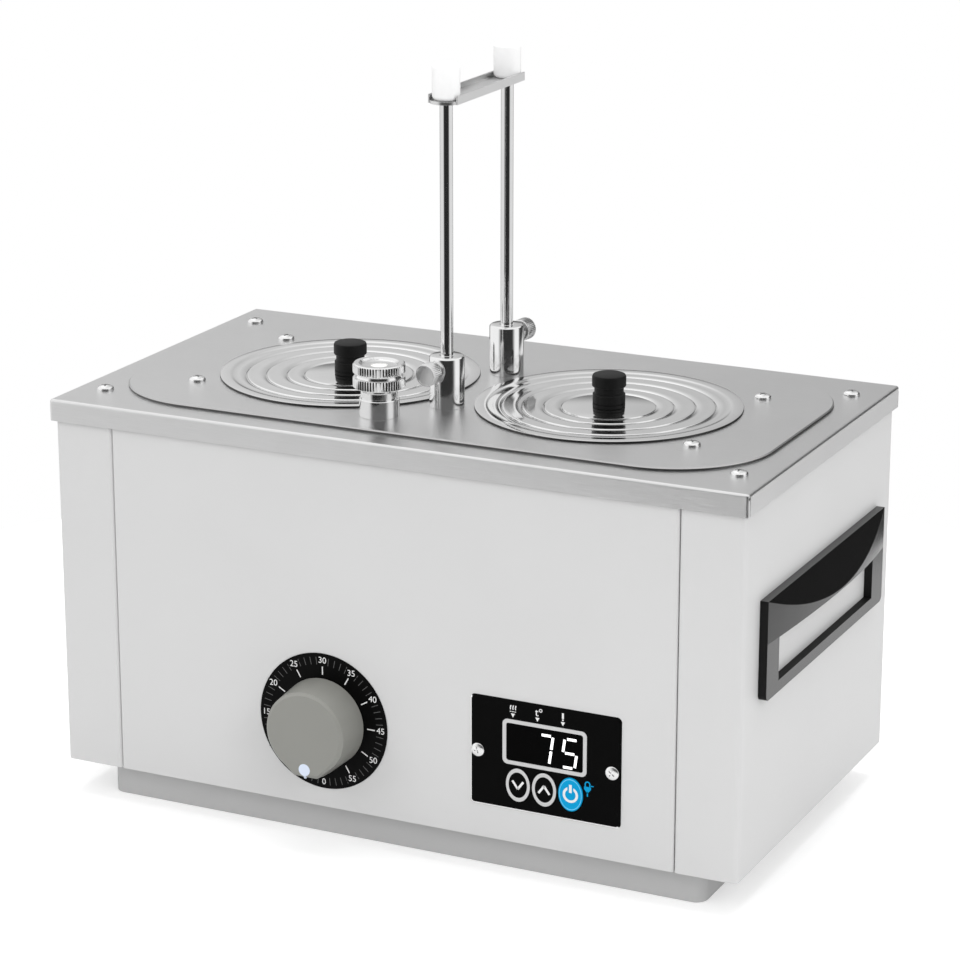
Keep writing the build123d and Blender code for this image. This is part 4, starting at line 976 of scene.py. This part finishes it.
marks = [arrow("arrow", x, arrow_z, 2.05, 1.9) for x in (heat_x, degree_x, alarm_x)]
for step in (-1, 0, 1):
    marks.append(mark("wave", heat_x + 0.1 + step * 1.25, 83.7, 0.55, 1.3, 14))
    marks.append(mark("wave", heat_x + step * 1.25, 82.7, 0.5, 1.0, -8))
    marks.append(mark("wave_bar", heat_x + step * 1.15, 81.3, 0.8, 0.35))
marks.append(lettering("t", degree_x - 0.3, mark_front, 82.8, 4.0))
marks.append(washer("degree", 0.5, 0.85, degree_x + 1.6, mark_front, 84.0))
marks.append(mark("alarm", alarm_x, 83.3, 0.95, 2.7))
marks.append(washer("alarm_dot", 0.0, 0.42, alarm_x, mark_front, 81.3))
print_on(marks, print_white, "signal_marks", "controller_bezel")
loop = washer("plug_loop", 0.85, 1.4, plug_x, mark_front, 52.5)
cut(loop, block("half", plug_x, mark_front, 51.0, 4, 2, 3.0))
plug = [
    loop,
    mark("plug_leg", plug_x - 1.12, 51.9, 0.55, 1.4),
    mark("plug_leg", plug_x + 1.12, 51.9, 0.55, 1.4),
    mark("plug_body", plug_x, 50.7, 3.4, 1.2),
    arrow("plug_point", plug_x, 49.4, 3.4, 2.2),
    mark("plug_tail", plug_x, 47.7, 0.6, 2.2),
    mark("plug_dash", plug_x + 2.3, 51.9, 1.4, 0.45),
]
print_on(plug, key_blue, "plug_mark", "controller_bezel")

# Handles. Black moulded frames, screwed on from inside the side shells, with a bowed grip whose
# top slopes away from the wall and whose underside is hollow for the fingers.
handle_black = moulded("handle_black", colour(0.03), 0.17, 0.5, 0.006, 0.8)
# A dull copy of the handle black that stands in for shade on the handle's hollow and ends.
handle_shaded_black = moulded("handle_shaded_black", colour(0.06), 0.6, 0.4, 0.02, 0.25)
for side in ("right", "left"):
    grip = refined(f"{side}_handle", handle_black, 0.6, 3, 16)
    low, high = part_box(f"{side}_handle")
    # The floor of the hollow under the grip and the two end faces take the dull black as painted shade, so
    # they stay dark as in the grip's shadow.
    grip.data.materials.append(handle_shaded_black.owner)
    for face in grip.data.polygons:
        inside = face.normal.z > 0.7 and face.center.z < (low.z + high.z) / 2
        face.material_index = int(inside or abs(face.normal.y) > 0.7)

# Studio. A pale floor that keeps the shadow, surroundings that are white to the camera and shaded
# where bright metal mirrors them, three soft lamps and the camera at the photograph's place.
camera_place = (0.6566, -1.3584, 0.6146)
camera_down = 16.93
camera_turn = 25.75
camera_lens = 123.3
floor_glow = 0.4
photo_east = 0.435
photo_north = 0.9
side_east = 0.574
side_north = 0.819
plain = 0.84
bpy.ops.object.select_all(action="DESELECT")
bpy.ops.mesh.primitive_circle_add(vertices=128, radius=0.5, fill_type="NGON", location=(0, 0, 0))
floor = bpy.context.object
floor.name = "floor"
pale = Finish("pale_floor")
path = pale.node("ShaderNodeLightPath", output="Is Camera Ray")
lit_floor = pale.node("ShaderNodeBsdfDiffuse", values={"Color": colour(0.86)})
white_floor = pale.node("ShaderNodeEmission", values={"Color": (1, 1, 1, 1), "Strength": floor_glow * path})
both = pale.node("ShaderNodeAddShader", values={0: lit_floor, 1: white_floor})
pale.node("ShaderNodeOutputMaterial", values={"Surface": both})
floor.data.materials.append(pale.owner)

surroundings = Finish("surroundings", bpy.data.worlds.new("surroundings"))
bpy.context.scene.world = surroundings.owner
seen = surroundings.node("ShaderNodeLightPath", output="Is Camera Ray")
mirrored = surroundings.node("ShaderNodeLightPath", output="Is Glossy Ray")
through = surroundings.node("ShaderNodeLightPath", output="Is Transmission Ray")
towards = {"Vector": surroundings.node("ShaderNodeTexCoord", output="Generated")}
east, north, up = [surroundings.node("ShaderNodeSeparateXYZ", values=towards, output=n) for n in range(3)]
reach = (east * east + north * north) ** 0.5
ahead = (east * photo_east - north * photo_north) / reach
aside = (east * side_east + north * side_north) / reach
across = (east * photo_north + north * photo_east) / reach
ramp = surroundings.ramp
room_front = ramp(ahead, 0.5, 0.82) * ramp(up, 0.75, 0.45)
room_side = ramp(aside, 0.8, 0.92) * ramp(up, 0.55, 0.42) * ramp(up, -0.12, -0.02)
room_back = ramp(ahead, -0.7, -0.92)
back_level = 0.12 + ramp(up, -0.02, 0.24) * 0.5 + ramp(up, 0.36, 0.75) * 0.38
back_level = back_level * (1.32 - 0.68 * ramp(across, -0.5, 0.5))
open_level = 1.0 - room_back * (1.0 - back_level)
below = 1.0 - 0.2 * ramp(up, -0.08, -0.2)
mirrored_level = below * open_level * (1.0 - 0.97 * room_front) * (1.0 - 0.95 * room_side)
strength = plain + (seen + through) * (1 - plain) + mirrored * (mirrored_level - plain)
backdrop = surroundings.node("ShaderNodeBackground", values={"Color": (1, 1, 1, 1), "Strength": strength})
surroundings.node("ShaderNodeOutputWorld", values={"Surface": backdrop})


def lamp(name, place, target, size, power):
    """A soft lamp turned to a target, in metres. Bright metal doesn't mirror it."""
    bpy.ops.object.light_add(type="AREA", location=place)
    light = bpy.context.object
    light.name = name
    light.data.shape = "RECTANGLE"
    light.data.size, light.data.size_y = size
    light.data.energy = power
    light.visible_glossy = False
    aim = bpy.data.objects.new(name + "_aim", None)
    bpy.context.scene.collection.objects.link(aim)
    aim.location = target
    tie = light.constraints.new("TRACK_TO")
    tie.target = aim


lamp("left_lamp", (-1.6, -1.4, 1.5), (0, 0, 0.1), (1.0, 1.2), 8)
lamp("right_lamp", (1.15, -0.85, 0.9), (0, 0, 0.1), (0.6, 0.8), 5)
lamp("top_lamp", (0, 0.3, 2.2), (0, 0, 0), (1.6, 1.2), 28)

facing = (radians(90 - camera_down), 0, radians(camera_turn))
bpy.ops.object.camera_add(location=camera_place, rotation=facing)
camera = bpy.context.object
camera.data.lens = camera_lens
camera.data.sensor_width = 36
bpy.context.scene.camera = camera
bpy.context.scene.view_settings.view_transform = "Standard"
